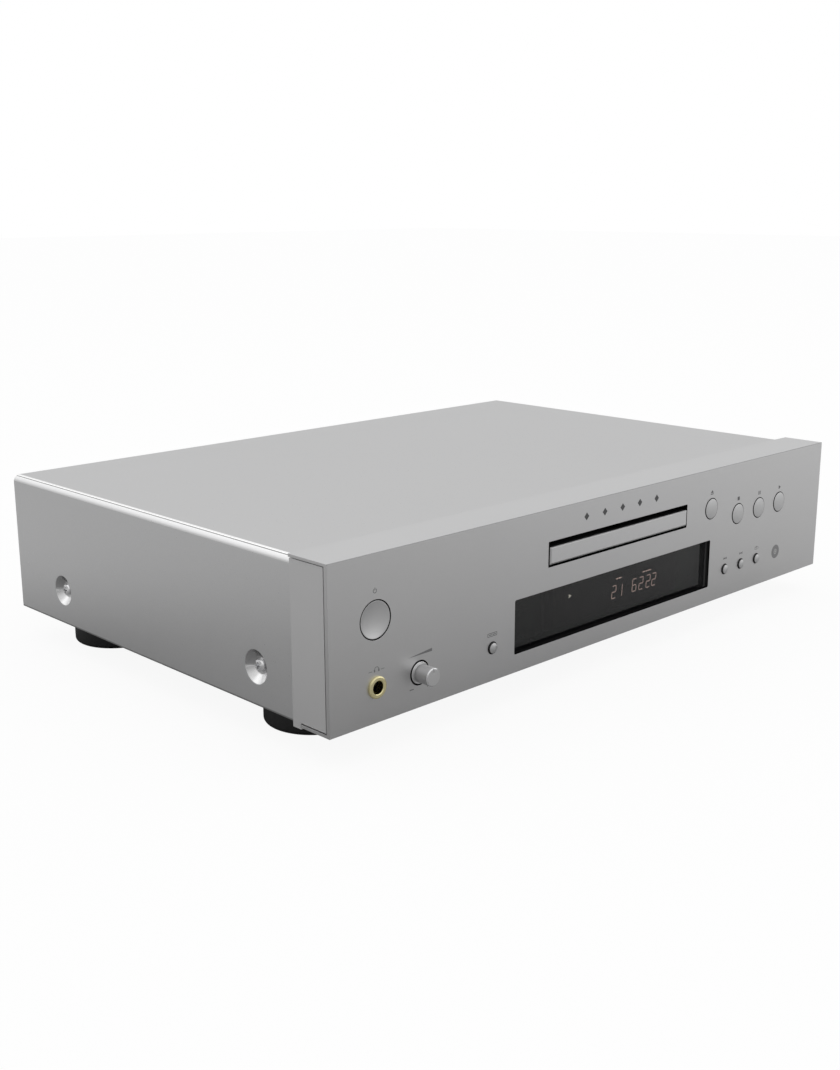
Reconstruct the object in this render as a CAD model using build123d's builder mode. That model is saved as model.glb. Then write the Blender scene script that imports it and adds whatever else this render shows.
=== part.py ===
"""A full-width CD player, taken apart into its pieces.

Frame: X to the right (seen from the front), Y to the rear, Z up. Z = 0 is the surface the feet stand on, X = 0 the
middle of the front panel, Y = 0 the middle of the whole depth, from the knob's face to the ends of the rear sockets.
Depths are millimetres behind the front panel's face, and at() turns them into Y. In names, _D is a depth, _R a
radius, _T a sheet thickness, _HALF a half width, and 0 and 1 are the lower and upper end of a range.
"""

from build123d import *
import math
import os
from typing import NamedTuple

os.makedirs("parts", exist_ok=True)

# ---------------------------------------------------------------- driving dimensions, mm
SIDES = (-1, 1)  # left and right

PANEL_W = 435.0  # the front panel is the widest piece
PANEL_H = 84.4
PANEL_Z = 16.5  # its lower edge above the table
PANEL_TOP = PANEL_Z + PANEL_H
PANEL_WALL = 2.3  # thickness of its face
RETURN_T = 1.5  # its top and bottom returns
RETURN_D = 27.6  # depth of the returns, face included

COVER_HALF = 216.3  # half width over the cover's sides
COVER_TOP = PANEL_TOP - 1.6
COVER_BOTTOM = PANEL_Z + 1.15
COVER_FRONT, COVER_REAR = 27.8, 290.0
COVER_T = 1.0
COVER_BEND = 4.2  # outer radius of its two long bends

KNOB_OUT = 9.8  # knob face ahead of the panel
JACKS_OUT = 297.4  # depth of the ends of the rear sockets
FACE_Y = -(KNOB_OUT + JACKS_OUT) / 2 + KNOB_OUT  # Y of the panel's face

BASE_Z0, BASE_Z1 = 18.1, 19.3  # chassis floor sheet
BASE_HALF, BASE_REAR = 211.6, 287.6
BOARD_Z0, BOARD_Z1 = 27.4, 29.0  # circuit boards on the chassis bosses

FOOT_R = 26.3
FOOT_X = 177.7
FOOT_FRONT, FOOT_REAR = 59.0, 244.4

SLOT_HALF, SLOT_Z0, SLOT_Z1 = 63.5, PANEL_Z + 52.5, PANEL_Z + 66.7
WINDOW_HALF, WINDOW_Z0, WINDOW_Z1 = 89.7, PANEL_Z + 10.1, PANEL_Z + 40.0
SLOT_Z = (SLOT_Z0 + SLOT_Z1) / 2
WINDOW_Z = (WINDOW_Z0 + WINDOW_Z1) / 2
GLASS_D = 3.7  # face of the window pane

# dishes in the cover's sides, each with a screw
DISH_Z = PANEL_Z + 21.2
DISH_R, DISH_DEPTH = 8.75, 3.5
DISHES = [(side, d) for side in SIDES for d in (56.5, 240.0)]
DISH_FLOOR_X = COVER_HALF - DISH_DEPTH

# screw places
PANEL_SCREW_D, PANEL_SCREW_X = 14, (-180, -60, 60, 180)
REAR_SCREW_D, REAR_SCREW_X = 281, (-190, -60, 60, 190)
LIP_SCREW_Z, LIP_SCREW_X = 91.5, (-150, 0, 150)
HOLE_R, PILOT_R = 1.6, 1.45  # clearance and thread holes of the self-tapping screws

# x, depth
MAIN_BOSSES = [(90, 108), (200, 108), (90, 260), (200, 260)]
POWER_BOSSES = [(-199, 66), (-114, 66), (-199, 144), (-114, 144)]
BOSSES = MAIN_BOSSES + POWER_BOSSES
LEGS = [(-72.4, 32), (72.4, 32), (-72.4, 204), (72.4, 204)]  # legs of the loader
DAMPERS = [(x, d) for x in (-55.5, 55.5) for d in (66, 172)]

# controls
ROW_HIGH, ROW_MID, ROW_LOW = PANEL_Z + 59.8, PANEL_Z + 51.8, PANEL_Z + 18.2
JACK_X, KNOB_X = -187.8, -159.3

# name, x, z, style
BUTTONS = [
    ("power_button", -188.2, ROW_MID, "power"),
    ("open_close_button", 89.2, ROW_HIGH, "medium"),
    ("stop_button", 119.0, ROW_MID, "medium"),
    ("pause_button", 143.0, ROW_MID, "medium"),
    ("play_button", 167.0, ROW_MID, "medium"),
    ("left_small_button", 107.3, ROW_LOW, "small"),
    ("middle_small_button", 125.3, ROW_LOW, "small"),
    ("right_small_button", 143.4, ROW_LOW, "small"),
    ("display_button", -106.8, ROW_LOW, "small"),
]


class ButtonStyle(NamedTuple):
    radius: float
    hole_r: float  # hole in the panel
    flange: float  # how far the flange behind the panel stands out
    stem_r: float
    crown: list  # (radius, depth) along the face; each arc shares its end point with the next
    bevel: list  # (radius, depth) between the crown and the side


STYLES = {
    # a shallow dish, its rim just behind the panel's face
    "power": ButtonStyle(
        9.5, 10.0, 1.3, 2.0,
        [(0, 1.35), (4.6, 1.02), (9.0, 0.12)],
        [(9.3, 0.1), (9.5, 0.35)],
    ),
    "medium": ButtonStyle(
        6.35, 6.7, 1.1, 2.0,
        [(0, -1.0), (3.1, -0.84), (5.9, -0.35), (6.2, -0.19), (6.35, 0.15)],
        [],
    ),
    "small": ButtonStyle(
        3.1, 3.45, 1.0, 1.6,
        [(0, -1.45), (1.4, -1.32), (2.55, -0.95), (2.95, -0.66), (3.1, -0.2)],
        [],
    ),
}

# rear sockets
SOCKET_Z = 40
ANALOG_X, COAXIAL_X, OPTICAL_X = (168, 186), 139, 121
INLET_X, INLET_Z = -185, 46

# disc mechanism
DISC_D = 82.0  # depth of the spindle axis, tray closed
TRAY_HALF, TRAY_D0, TRAY_D1 = 62.6, 4.2, 183.0
TRAY_Z0, TRAY_Z1 = 74.8, 79.4
TRAY_TOP_CUT = 80.0  # where cuts into the tray's top end, clear above it
LOADER_HALF, LOADER_WALL_X = 66.4, 63.4  # outer and inner face of the loader's side walls
LOADER_D0, LOADER_D1 = 22, 214
LOADER_FLOOR_Z, LOADER_TOP = 59.0, 84.0
BRIDGE_Z0, BRIDGE_Z1 = 84.05, 85.25

# tray drive: motor, belt, belt wheel with pinion, drive gear, rack; all axes at RACK_D
RACK_X, RACK_D, TRAY_MODULE = -50.0, 36.0, 1.0  # tray rack pitch line, depth where the gear meets it
PINION_TEETH, WHEEL_TEETH, WHEEL_MODULE, BELT_PINION_TEETH = 18, 36, 0.8, 12
DRIVE_X = RACK_X + PINION_TEETH * TRAY_MODULE / 2
BELT_X = DRIVE_X + (WHEEL_TEETH + BELT_PINION_TEETH) * WHEEL_MODULE / 2
MOTOR_X = 24.0
BELT_GROOVE_R, MOTOR_GROOVE_R = 12.0, 3.0
GROOVE_Z, GROOVE_H = 61.2, 1.6
PULLEY_TOP = 64.0

# sled drive: motor pinion, wheel with pinion, rack on the pickup
SLED_RACK_X, SLED_RACK_D, SLED_MODULE = 26.0, 134.0, 0.6
SLED_PINION_TEETH, SLED_WHEEL_TEETH, SLED_MOTOR_TEETH = 14, 24, 12
SLED_X = SLED_RACK_X + SLED_PINION_TEETH * SLED_MODULE / 2
SLED_MOTOR_ANGLE = 60.0  # direction from the sled gear to its motor
SLED_REACH = (SLED_WHEEL_TEETH + SLED_MOTOR_TEETH) * SLED_MODULE / 2
SLED_MOTOR_X = SLED_X + SLED_REACH * math.cos(math.radians(SLED_MOTOR_ANGLE))
SLED_MOTOR_D = SLED_RACK_D + SLED_REACH * math.sin(math.radians(SLED_MOTOR_ANGLE))
ROD_X, ROD_R, ROD_Z = 17.5, 1.5, 67.5
TRAVERSE_Z0, TRAVERSE_Z1 = 62.0, 63.5
SLED_D0, SLED_D1, LENS_D = 97.0, 124.0, 106.0

# fits
SHAFT_BORE_R = 1.06  # bore for the 1.0 mm radius motor shafts
AXLE_R, AXLE_BORE_R = 1.5, 1.56

# tooth form of every gear and rack
PRESSURE_ANGLE = math.radians(20)
TOOTH_THINNING = 0.06  # taken off each flank, mm
ADDENDUM, DEDENDUM = 0.9, 1.2  # in modules
FLANK_STEPS = 4


# ---------------------------------------------------------------- helpers
def at(depth):
    """Y of a point `depth` mm behind the front panel's face."""
    return FACE_Y + depth


def facing(depth):
    """Plane that looks to the front; local x is X, local y is Z. A negative extrude goes to the rear."""
    return Plane.XZ.offset(-at(depth))


def bar(x, d, z, mode=Mode.ADD):
    """Block between two X (in either order), two depths and two Z."""
    with Locations(((x[0] + x[1]) / 2, at((d[0] + d[1]) / 2), (z[0] + z[1]) / 2)):
        Box(abs(x[1] - x[0]), d[1] - d[0], z[1] - z[0], mode=mode)


def round_x(d, z, r, x, mode=Mode.ADD):
    """Round bar along X, its two ends in either order."""
    with Locations(((x[0] + x[1]) / 2, at(d), z)):
        Cylinder(r, abs(x[1] - x[0]), rotation=(0, 90, 0), mode=mode)


def round_y(x, z, r, d, mode=Mode.ADD):
    """Round bar along Y."""
    with Locations((x, at((d[0] + d[1]) / 2), z)):
        Cylinder(r, d[1] - d[0], rotation=(90, 0, 0), mode=mode)


def round_z(x, d, r, z, mode=Mode.ADD):
    """Round bar along Z."""
    with Locations((x, at(d), (z[0] + z[1]) / 2)):
        Cylinder(r, z[1] - z[0], mode=mode)


def cross_z(x, d, reach, half_width, z):
    """Cut a cross recess into a screw head that looks up or down."""
    bar((x - reach, x + reach), (d - half_width, d + half_width), z, Mode.SUBTRACT)
    bar((x - half_width, x + half_width), (d - reach, d + reach), z, Mode.SUBTRACT)


def turned_y(x, rows):
    """Points of a profile turned about an axis along Y, from rows of (radius, depth)."""
    return [(x + r, at(d)) for r, d in rows]


def turned_x(side, d, base_x, rows):
    """Points of a profile turned about an axis along X, from rows of (distance outwards of base_x, radius)."""
    return [(side * (base_x + out), at(d) + r) for out, r in rows]


def gear_outline(teeth, module, phase, x, y):
    """Points of an involute gear with one tooth centred on `phase` degrees. Its root lies inside its base circle."""
    pitch_r = teeth * module / 2
    base_r = pitch_r * math.cos(PRESSURE_ANGLE)
    tip_r, root_r = pitch_r + ADDENDUM * module, pitch_r - DEDENDUM * module

    def involute(angle):
        return math.tan(angle) - angle

    half = math.pi / (2 * teeth) - TOOTH_THINNING / pitch_r + involute(PRESSURE_ANGLE)
    flank = [(root_r, half)]
    for i in range(FLANK_STEPS + 1):
        r = base_r + (tip_r - base_r) * i / FLANK_STEPS
        flank.append((r, half - involute(math.acos(min(1.0, base_r / r)))))
    points = []
    for k in range(teeth):
        centre = math.radians(phase) + 2 * math.pi * k / teeth
        tooth = [(r, centre - a) for r, a in flank] + [(r, centre + a) for r, a in reversed(flank)]
        points += [(x + r * math.cos(a), y + r * math.sin(a)) for r, a in tooth]
    return points


def rack_outline(module, x, d0, d1, gap_d, back):
    """Points of a rack along Y with teeth towards +X, pitch line at x, a tooth gap centred at depth gap_d."""
    pitch, slope = math.pi * module, math.tan(PRESSURE_ANGLE)
    root, tip = DEDENDUM * module, ADDENDUM * module
    half = pitch / 4 - TOOTH_THINNING
    points = [(x - back, at(d0)), (x - root, at(d0))]
    # only whole teeth between the two ends
    for k in range(math.ceil((d0 - gap_d) / pitch), math.floor((d1 - gap_d) / pitch)):
        centre = gap_d + (k + 0.5) * pitch
        points += [
            (x - root, at(centre - half - root * slope)),
            (x + tip, at(centre - half + tip * slope)),
            (x + tip, at(centre + half - tip * slope)),
            (x - root, at(centre + half + root * slope)),
        ]
    return points + [(x - root, at(d1)), (x - back, at(d1))]


def finish(piece, name):
    """Label a piece and write its file."""
    piece.part.label = name
    export_step(piece.part, f"parts/{name}.step")


# ================================================================ casing
CAP_FACE = 216.9  # X of the end caps' outer faces
CAP_T = 2.6
CAP_STEP_X = CAP_FACE - 6.0  # inner face of the caps' stepped backs

# Front panel: an aluminium extrusion of C section, cut to length and pierced
with BuildPart() as front_panel:
    with BuildSketch(Plane.YZ.offset(-PANEL_W / 2)):
        with BuildLine():
            Polyline(
                (at(0), PANEL_Z),
                (at(RETURN_D), PANEL_Z),
                (at(RETURN_D), PANEL_Z + RETURN_T),
                (at(PANEL_WALL), PANEL_Z + RETURN_T),
                (at(PANEL_WALL), PANEL_TOP - RETURN_T),
                (at(RETURN_D), PANEL_TOP - RETURN_T),
                (at(RETURN_D), PANEL_TOP),
                (at(0), PANEL_TOP),
                close=True,
            )
        make_face()
    extrude(amount=PANEL_W)
    long_edges = front_panel.edges().filter_by(Axis.X).group_by(Axis.Y)[0]
    fillet(long_edges, radius=0.35)
    with BuildSketch(facing(-1)):
        with Locations((0, SLOT_Z)):
            RectangleRounded(2 * SLOT_HALF, SLOT_Z1 - SLOT_Z0, 0.6)
        with Locations((0, WINDOW_Z)):
            RectangleRounded(2 * WINDOW_HALF, WINDOW_Z1 - WINDOW_Z0, 1.0)
        for _, x, z, style in BUTTONS:
            with Locations((x, z)):
                Circle(STYLES[style].hole_r)
        with Locations((KNOB_X, ROW_LOW)):
            Circle(6.5)
        with Locations((JACK_X, ROW_LOW)):
            Circle(4.6)
    extrude(amount=-(1 + PANEL_WALL + 1), mode=Mode.SUBTRACT)
    # clearance at both ends of the lower return for the caps' tabs, then screw holes
    for side in (1, -1):
        bar(
            (side * 212.0, side * (PANEL_W / 2 + 1)),
            (21.4, RETURN_D + 1),
            (PANEL_Z - 1, PANEL_Z + RETURN_T + 0.05),
            Mode.SUBTRACT,
        )
    for x in PANEL_SCREW_X:
        round_z(x, PANEL_SCREW_D, HOLE_R, (PANEL_Z - 1, PANEL_Z + RETURN_T + 0.5), Mode.SUBTRACT)
finish(front_panel, "front_panel")

# End caps: flat plates set into the ends of the profile, with a stepped back, a tab and a rib
for side, name in ((-1, "end_cap_left"), (1, "end_cap_right")):
    with BuildPart() as end_cap:
        with BuildSketch(Plane.YZ.offset(side * CAP_FACE)):
            with BuildLine():
                Polyline(
                    (at(PANEL_WALL + 1.2), PANEL_Z + 2.0),
                    (at(RETURN_D), PANEL_Z + 2.0),
                    (at(RETURN_D), PANEL_TOP - 2.1),
                    (at(PANEL_WALL + 1.2), PANEL_TOP - 2.1),
                    close=True,
                )
            make_face()
        extrude(amount=-side * CAP_T)
        bar(
            (side * (CAP_FACE - CAP_T), side * CAP_STEP_X),
            (PANEL_WALL + 0.1, RETURN_D - 0.1),
            (BASE_Z0 + 0.05, PANEL_TOP - RETURN_T - 0.1),
        )
        # tab reaching down through the clearance in the panel's lower return
        bar(
            (side * (CAP_FACE - CAP_T), side * CAP_FACE),
            (21.6, RETURN_D),
            (PANEL_Z - 1.3, PANEL_Z + 2.6),
        )
        # rib towards the middle that the cap is glued and located by
        bar((side * CAP_STEP_X, side * 207.0), (12.0, 14.0), (BASE_Z1 + 3, PANEL_TOP - RETURN_T - 4))
    finish(end_cap, name)

# Pressed dish: sloping wall, flat floor with the screw hole. Distance outwards of the cover's side, radius
DISH_PROFILE = [
    (0, DISH_R + 1.2),
    (0, DISH_R + 0.25),
    (-0.25, DISH_R - 0.1),
    (-DISH_DEPTH + 0.2, 5.0),
    (-DISH_DEPTH, 4.6),
    (-DISH_DEPTH, 1.9),
    (-DISH_DEPTH - COVER_T, 1.9),
    (-DISH_DEPTH - COVER_T, 5.2),
    (-COVER_T, DISH_R + 0.2),
    (-COVER_T, DISH_R + 1.2),
]
COVER_OPEN = 20  # how far the cutter for the cover's inside runs out below

# Top cover: one sheet over top and sides, hems below, a lip over the rear panel, a tongue under the panel's top
with BuildPart() as top_cover:
    with BuildSketch(facing(COVER_FRONT)):
        with Locations((0, (COVER_TOP + COVER_BOTTOM) / 2)):
            Rectangle(2 * COVER_HALF, COVER_TOP - COVER_BOTTOM)
        top_corners = vertices().group_by(Axis.Y)[-1]
        fillet(top_corners, radius=COVER_BEND)
        with Locations((0, (COVER_TOP - COVER_T + COVER_BOTTOM - COVER_OPEN) / 2)):
            RectangleRounded(
                2 * (COVER_HALF - COVER_T),
                COVER_TOP - COVER_T - COVER_BOTTOM + COVER_OPEN,
                COVER_BEND - COVER_T,
                mode=Mode.SUBTRACT,
            )
    extrude(amount=-(COVER_REAR - COVER_FRONT))
    for side in SIDES:
        bar(
            (side * 211.9, side * (COVER_HALF - COVER_T)),
            (COVER_FRONT, COVER_REAR),
            (COVER_BOTTOM, COVER_BOTTOM + COVER_T),
        )
    bar((-212, 212), (COVER_REAR - COVER_T, COVER_REAR), (84.5, COVER_TOP - COVER_T))
    bar((-205, 205), (19.0, COVER_FRONT + 3), (COVER_TOP - 2 * COVER_T, COVER_TOP - COVER_T))
    for side, d in DISHES:
        cut = (side * (COVER_HALF - COVER_T - 1), side * (COVER_HALF + 1))
        round_x(d, DISH_Z, DISH_R + 0.6, cut, Mode.SUBTRACT)
    for side, d in DISHES:
        with BuildSketch(Plane.XY.offset(DISH_Z)):
            with BuildLine():
                Polyline(*turned_x(side, d, COVER_HALF, DISH_PROFILE), close=True)
            make_face()
        revolve(axis=Axis((0, at(d), DISH_Z), (1, 0, 0)))
    for x in LIP_SCREW_X:
        round_y(x, LIP_SCREW_Z, HOLE_R, (COVER_REAR - 2, COVER_REAR + 1), Mode.SUBTRACT)
finish(top_cover, "top_cover")

# Cover screws: pan heads with a cross recess, standing on the dish floors
# distance outwards of the dish floor, radius
COVER_SCREW_PROFILE = [
    (2.3, 0), (-9.0, 0), (-9.0, 1.2), (-8.6, 1.5), (0, 1.5),
    (0, 3.5), (0.9, 3.6), (1.7, 3.1), (2.15, 1.9),
]
with BuildPart() as cover_screws:
    for side, d in DISHES:
        with BuildSketch(Plane.XY.offset(DISH_Z)):
            with BuildLine():
                Polyline(*turned_x(side, d, DISH_FLOOR_X, COVER_SCREW_PROFILE), close=True)
            make_face()
        revolve(axis=Axis((0, at(d), DISH_Z), (1, 0, 0)))
    for side, d in DISHES:
        recess = (side * (DISH_FLOOR_X + 0.7), side * (DISH_FLOOR_X + 3))
        bar(recess, (d - 1.9, d + 1.9), (DISH_Z - 0.45, DISH_Z + 0.45), Mode.SUBTRACT)
        bar(recess, (d - 0.45, d + 0.45), (DISH_Z - 1.9, DISH_Z + 1.9), Mode.SUBTRACT)
finish(cover_screws, "cover_screws")

# Bottom chassis: folded steel tray with raised board bosses and vent slots
FLOOR_CUT = (BASE_Z0 - 1, BASE_Z1 + 1)  # Z of a cut right through the floor
with BuildPart() as bottom_chassis:
    bar((-BASE_HALF, BASE_HALF), (2.6, BASE_REAR), (BASE_Z0, BASE_Z1))
    # a narrower tongue at the front, over the panel's lower return
    bar((-BASE_HALF, BASE_HALF), (2.5, 28.0), FLOOR_CUT, Mode.SUBTRACT)
    bar((-206.5, 206.5), (7.0, 28.0), (BASE_Z0, BASE_Z1))
    for side in SIDES:
        bar((side * 210.4, side * BASE_HALF), (28.2, BASE_REAR), (BASE_Z1, 46.0))
    for x, d in BOSSES:
        round_z(x, d, 3.5, (BASE_Z1, BOARD_Z0))
        round_z(x, d, 1.55, (BASE_Z0 + 0.4, 28), Mode.SUBTRACT)
    for x, d in LEGS:
        round_z(x, d, 1.7, FLOOR_CUT, Mode.SUBTRACT)
    for x in (-FOOT_X, FOOT_X):
        for d in (FOOT_FRONT, FOOT_REAR):
            round_z(x, d, 2.1, FLOOR_CUT, Mode.SUBTRACT)
    for x in PANEL_SCREW_X:
        round_z(x, PANEL_SCREW_D, PILOT_R, FLOOR_CUT, Mode.SUBTRACT)
    for x in REAR_SCREW_X:
        round_z(x, REAR_SCREW_D, HOLE_R, FLOOR_CUT, Mode.SUBTRACT)
    for side, d in DISHES:
        round_x(d, DISH_Z, 1.6, (side * 209, side * 213), Mode.SUBTRACT)
    with BuildSketch(Plane.XY.offset(BASE_Z0 - 1)):
        with Locations((-145, at(108)), (145, at(185)), (0, at(250))):
            with GridLocations(9, 0, 9, 1):
                SlotOverall(34, 3.2, rotation=90)
    extrude(amount=4, mode=Mode.SUBTRACT)
finish(bottom_chassis, "bottom_chassis")

# Rear panel: steel plate with the socket openings, and a foot flange folded forwards
REAR_D0, REAR_D1 = 287.7, 288.9
with BuildPart() as rear_panel:
    bar((-214.9, 214.9), (REAR_D0, REAR_D1), (BASE_Z1 + 0.05, 98.0))
    upper_corners = rear_panel.edges().filter_by(Axis.Y).group_by(Axis.Z)[-1]
    fillet(upper_corners, radius=4.0)
    bar((-208, 208), (275.0, REAR_D0), (BASE_Z1 + 0.05, BASE_Z1 + 1.25))
    with BuildSketch(facing(280)):
        for x in (*ANALOG_X, COAXIAL_X):
            with Locations((x, SOCKET_Z)):
                Circle(6.7)
        with Locations((OPTICAL_X, SOCKET_Z)):
            Rectangle(11.8, 11.8)
        with Locations((INLET_X, INLET_Z)):
            RectangleRounded(28.0, 20.4, 3.0)
        for x in LIP_SCREW_X:
            with Locations((x, LIP_SCREW_Z)):
                Circle(PILOT_R)
        # vent slots
        with Locations((-130, 60)):
            with GridLocations(7, 0, 9, 1):
                SlotOverall(26, 2.8, rotation=90)
    extrude(amount=-12, mode=Mode.SUBTRACT)
    for x in REAR_SCREW_X:
        round_z(x, REAR_SCREW_D, PILOT_R, (BASE_Z1 - 1, BASE_Z1 + 3), Mode.SUBTRACT)
finish(rear_panel, "rear_panel")

# Feet: moulded discs with a rounded lower rim, standing on the ring around a shallow round recess
FOOT_SEAT_Z = 12.5  # top of the screw well, where the head bears
for name, x, d in (
    ("foot_front_left", -FOOT_X, FOOT_FRONT),
    ("foot_front_right", FOOT_X, FOOT_FRONT),
    ("foot_rear_left", -FOOT_X, FOOT_REAR),
    ("foot_rear_right", FOOT_X, FOOT_REAR),
):
    with BuildPart() as foot:
        round_z(x, d, FOOT_R, (0, BASE_Z0 - 0.05))
        fillet(foot.edges().group_by(Axis.Z)[0], radius=2.0)
        with BuildSketch(Plane.XY.offset(0)):
            with Locations((x, at(d))):
                Circle(13.0)
        extrude(amount=1.2, mode=Mode.SUBTRACT)
        # screw well and hole
        round_z(x, d, 6.0, (-1, FOOT_SEAT_Z), Mode.SUBTRACT)
        round_z(x, d, 2.1, (12, BASE_Z0 + 1), Mode.SUBTRACT)
    finish(foot, name)

with BuildPart() as foot_screws:
    for x in (-FOOT_X, FOOT_X):
        for d in (FOOT_FRONT, FOOT_REAR):
            round_z(x, d, 4.0, (10.0, FOOT_SEAT_Z))
            round_z(x, d, 2.0, (FOOT_SEAT_Z, 24.0))
            cross_z(x, d, 2.2, 0.5, (9.0, 11.3))
finish(foot_screws, "foot_screws")

# Self-tapping screws: panel and rear panel from below, cover lip from behind
TAP_R, TAP_HEAD_R, TAP_HEAD_H = 1.4, 2.8, 1.5
with BuildPart() as chassis_screws:
    for places, d, seat, tip in (
        (PANEL_SCREW_X, PANEL_SCREW_D, PANEL_Z, 24.5),
        (REAR_SCREW_X, REAR_SCREW_D, BASE_Z0, 26.1),
    ):
        for x in places:
            round_z(x, d, TAP_HEAD_R, (seat - TAP_HEAD_H, seat))
            round_z(x, d, TAP_R, (seat, tip))
            cross_z(x, d, 1.5, 0.4, (seat - 2, seat - 0.7))
    for x in LIP_SCREW_X:
        round_y(x, LIP_SCREW_Z, TAP_HEAD_R, (COVER_REAR, COVER_REAR + TAP_HEAD_H))
        round_y(x, LIP_SCREW_Z, TAP_R, (COVER_REAR - 8.0, COVER_REAR))
        recess = (COVER_REAR + 0.7, COVER_REAR + 2)
        bar((x - 1.5, x + 1.5), recess, (LIP_SCREW_Z - 0.4, LIP_SCREW_Z + 0.4), Mode.SUBTRACT)
        bar((x - 0.4, x + 0.4), recess, (LIP_SCREW_Z - 1.5, LIP_SCREW_Z + 1.5), Mode.SUBTRACT)
finish(chassis_screws, "chassis_screws")

# Machine screws: boards onto the bosses from above, the loader's legs from below
MACHINE_R, MACHINE_HEAD_R, MACHINE_HEAD_H = 1.5, 3.0, 1.8
with BuildPart() as board_screws:
    for x, d in BOSSES:
        round_z(x, d, MACHINE_HEAD_R, (BOARD_Z1, BOARD_Z1 + MACHINE_HEAD_H))
        round_z(x, d, MACHINE_R, (20.0, BOARD_Z1))
        cross_z(x, d, 1.7, 0.4, (BOARD_Z1 + 1, BOARD_Z1 + 2))
    for x, d in LEGS:
        round_z(x, d, MACHINE_HEAD_R, (BASE_Z0 - MACHINE_HEAD_H, BASE_Z0))
        round_z(x, d, MACHINE_R, (BASE_Z0, BASE_Z0 + 9.0))
        cross_z(x, d, 1.7, 0.4, (BASE_Z0 - 2, BASE_Z0 - 1))
finish(board_screws, "board_screws")

# ================================================================ front: subframe, window, display, controls
SUBFRAME_D0, SUBFRAME_D1, SUBFRAME_D2 = PANEL_WALL + 0.05, 4.6, 6.6  # rim front, plate front, plate rear
SUBFRAME_HALF, SUBFRAME_Z0, SUBFRAME_Z1, SUBFRAME_RIM = 205, 21.0, 97.4, 2.0
PANE_HALF, PANE_Z0, PANE_Z1 = 93.0, WINDOW_Z0 - 2.5, WINDOW_Z1 + 2.5

# Front subframe: a plate with a rim around it and raised surrounds for the window and the slot
with BuildPart() as front_subframe:
    plate_x = (-SUBFRAME_HALF, SUBFRAME_HALF)
    rim_d = (SUBFRAME_D0, SUBFRAME_D1)
    bar(plate_x, (SUBFRAME_D1, SUBFRAME_D2), (SUBFRAME_Z0, SUBFRAME_Z1))
    bar(plate_x, rim_d, (SUBFRAME_Z1 - SUBFRAME_RIM, SUBFRAME_Z1))
    bar(plate_x, rim_d, (SUBFRAME_Z0, SUBFRAME_Z0 + SUBFRAME_RIM))
    for side in SIDES:
        rim_x = (side * (SUBFRAME_HALF - SUBFRAME_RIM), side * SUBFRAME_HALF)
        bar(rim_x, rim_d, (SUBFRAME_Z0, SUBFRAME_Z1))
    bar((-97, 97), (SUBFRAME_D0, 9.0), (22.0, 61.0))
    bar((-67.5, 67.5), (SUBFRAME_D0, 12.0), (65.5, 86.5))
    with BuildSketch(facing(2)):
        with Locations((0, WINDOW_Z)):
            RectangleRounded(2 * WINDOW_HALF + 0.2, WINDOW_Z1 - WINDOW_Z0 + 0.2, 1.0)
        with Locations((0, SLOT_Z)):
            Rectangle(2 * SLOT_HALF + 0.6, SLOT_Z1 - SLOT_Z0 + 0.6)
        with Locations((JACK_X, ROW_LOW)):
            Circle(5.2)
        with Locations((KNOB_X, ROW_LOW)):
            Circle(6.6)
        for _, x, z, style in BUTTONS:
            with Locations((x, z)):
                Circle(STYLES[style].stem_r + 0.1)
    extrude(amount=-12, mode=Mode.SUBTRACT)
    # seat of the window pane
    bar(
        (-PANE_HALF - 0.1, PANE_HALF + 0.1),
        (GLASS_D - 0.05, 9.5),
        (PANE_Z0 - 0.1, PANE_Z1 + 0.1),
        Mode.SUBTRACT,
    )
finish(front_subframe, "front_subframe")

with BuildPart() as display_window:
    bar((-PANE_HALF, PANE_HALF), (GLASS_D, GLASS_D + 2.0), (PANE_Z0, PANE_Z1))
    chamfer(display_window.edges().filter_by(Axis.Y), length=0.8)
finish(display_window, "display_window")

# Lit display: a flat glass envelope with its exhaust tip, on a thin carrier
with BuildPart() as display_module:
    bar((-48, 68), (9.1, 13.6), (28.0, 54.0))
    fillet(display_module.edges().filter_by(Axis.Y), radius=1.0)
    bar((-50, 70), (13.6, 15.6), (27.0, 55.0))
    round_x(11.4, 41.0, 1.6, (68.0, 71.0))
finish(display_module, "display_module")

# Front board: U shaped around the disc slot
FRONT_BOARD_D0, FRONT_BOARD_D1 = 17.0, 18.6
FRONT_BOARD_CUT = (16, 20)  # depths of a cut right through it
with BuildPart() as front_board:
    bar((-204, 204), (FRONT_BOARD_D0, FRONT_BOARD_D1), (21.5, 64.0))
    bar((-204, -72.5), (FRONT_BOARD_D0, FRONT_BOARD_D1), (64.0, 93.0))
    bar((72.5, 204), (FRONT_BOARD_D0, FRONT_BOARD_D1), (64.0, 93.0))
    # opening for the headphone jack, hole behind the level control
    bar((-198, -178), FRONT_BOARD_CUT, (24.0, 45.5), Mode.SUBTRACT)
    round_y(KNOB_X, ROW_LOW, 1.5, FRONT_BOARD_CUT, Mode.SUBTRACT)
    # connector for the ribbon and a controller chip, soldered on the back
    bar((140, 176), (FRONT_BOARD_D1, 23.0), (47.0, 53.0))
    bar((40, 58), (FRONT_BOARD_D1, 20.4), (34.0, 52.0))
    bar((142, 174), (19.4, 24.0), (49.6, 50.6), Mode.SUBTRACT)
finish(front_board, "front_board")

with BuildPart() as tact_switches:
    for _, x, z, _ in BUTTONS:
        bar((x - 3, x + 3), (13.5, FRONT_BOARD_D0), (z - 3, z + 3))
        round_y(x, z, 1.7, (12.6, 13.5))
finish(tact_switches, "tact_switches")

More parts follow.
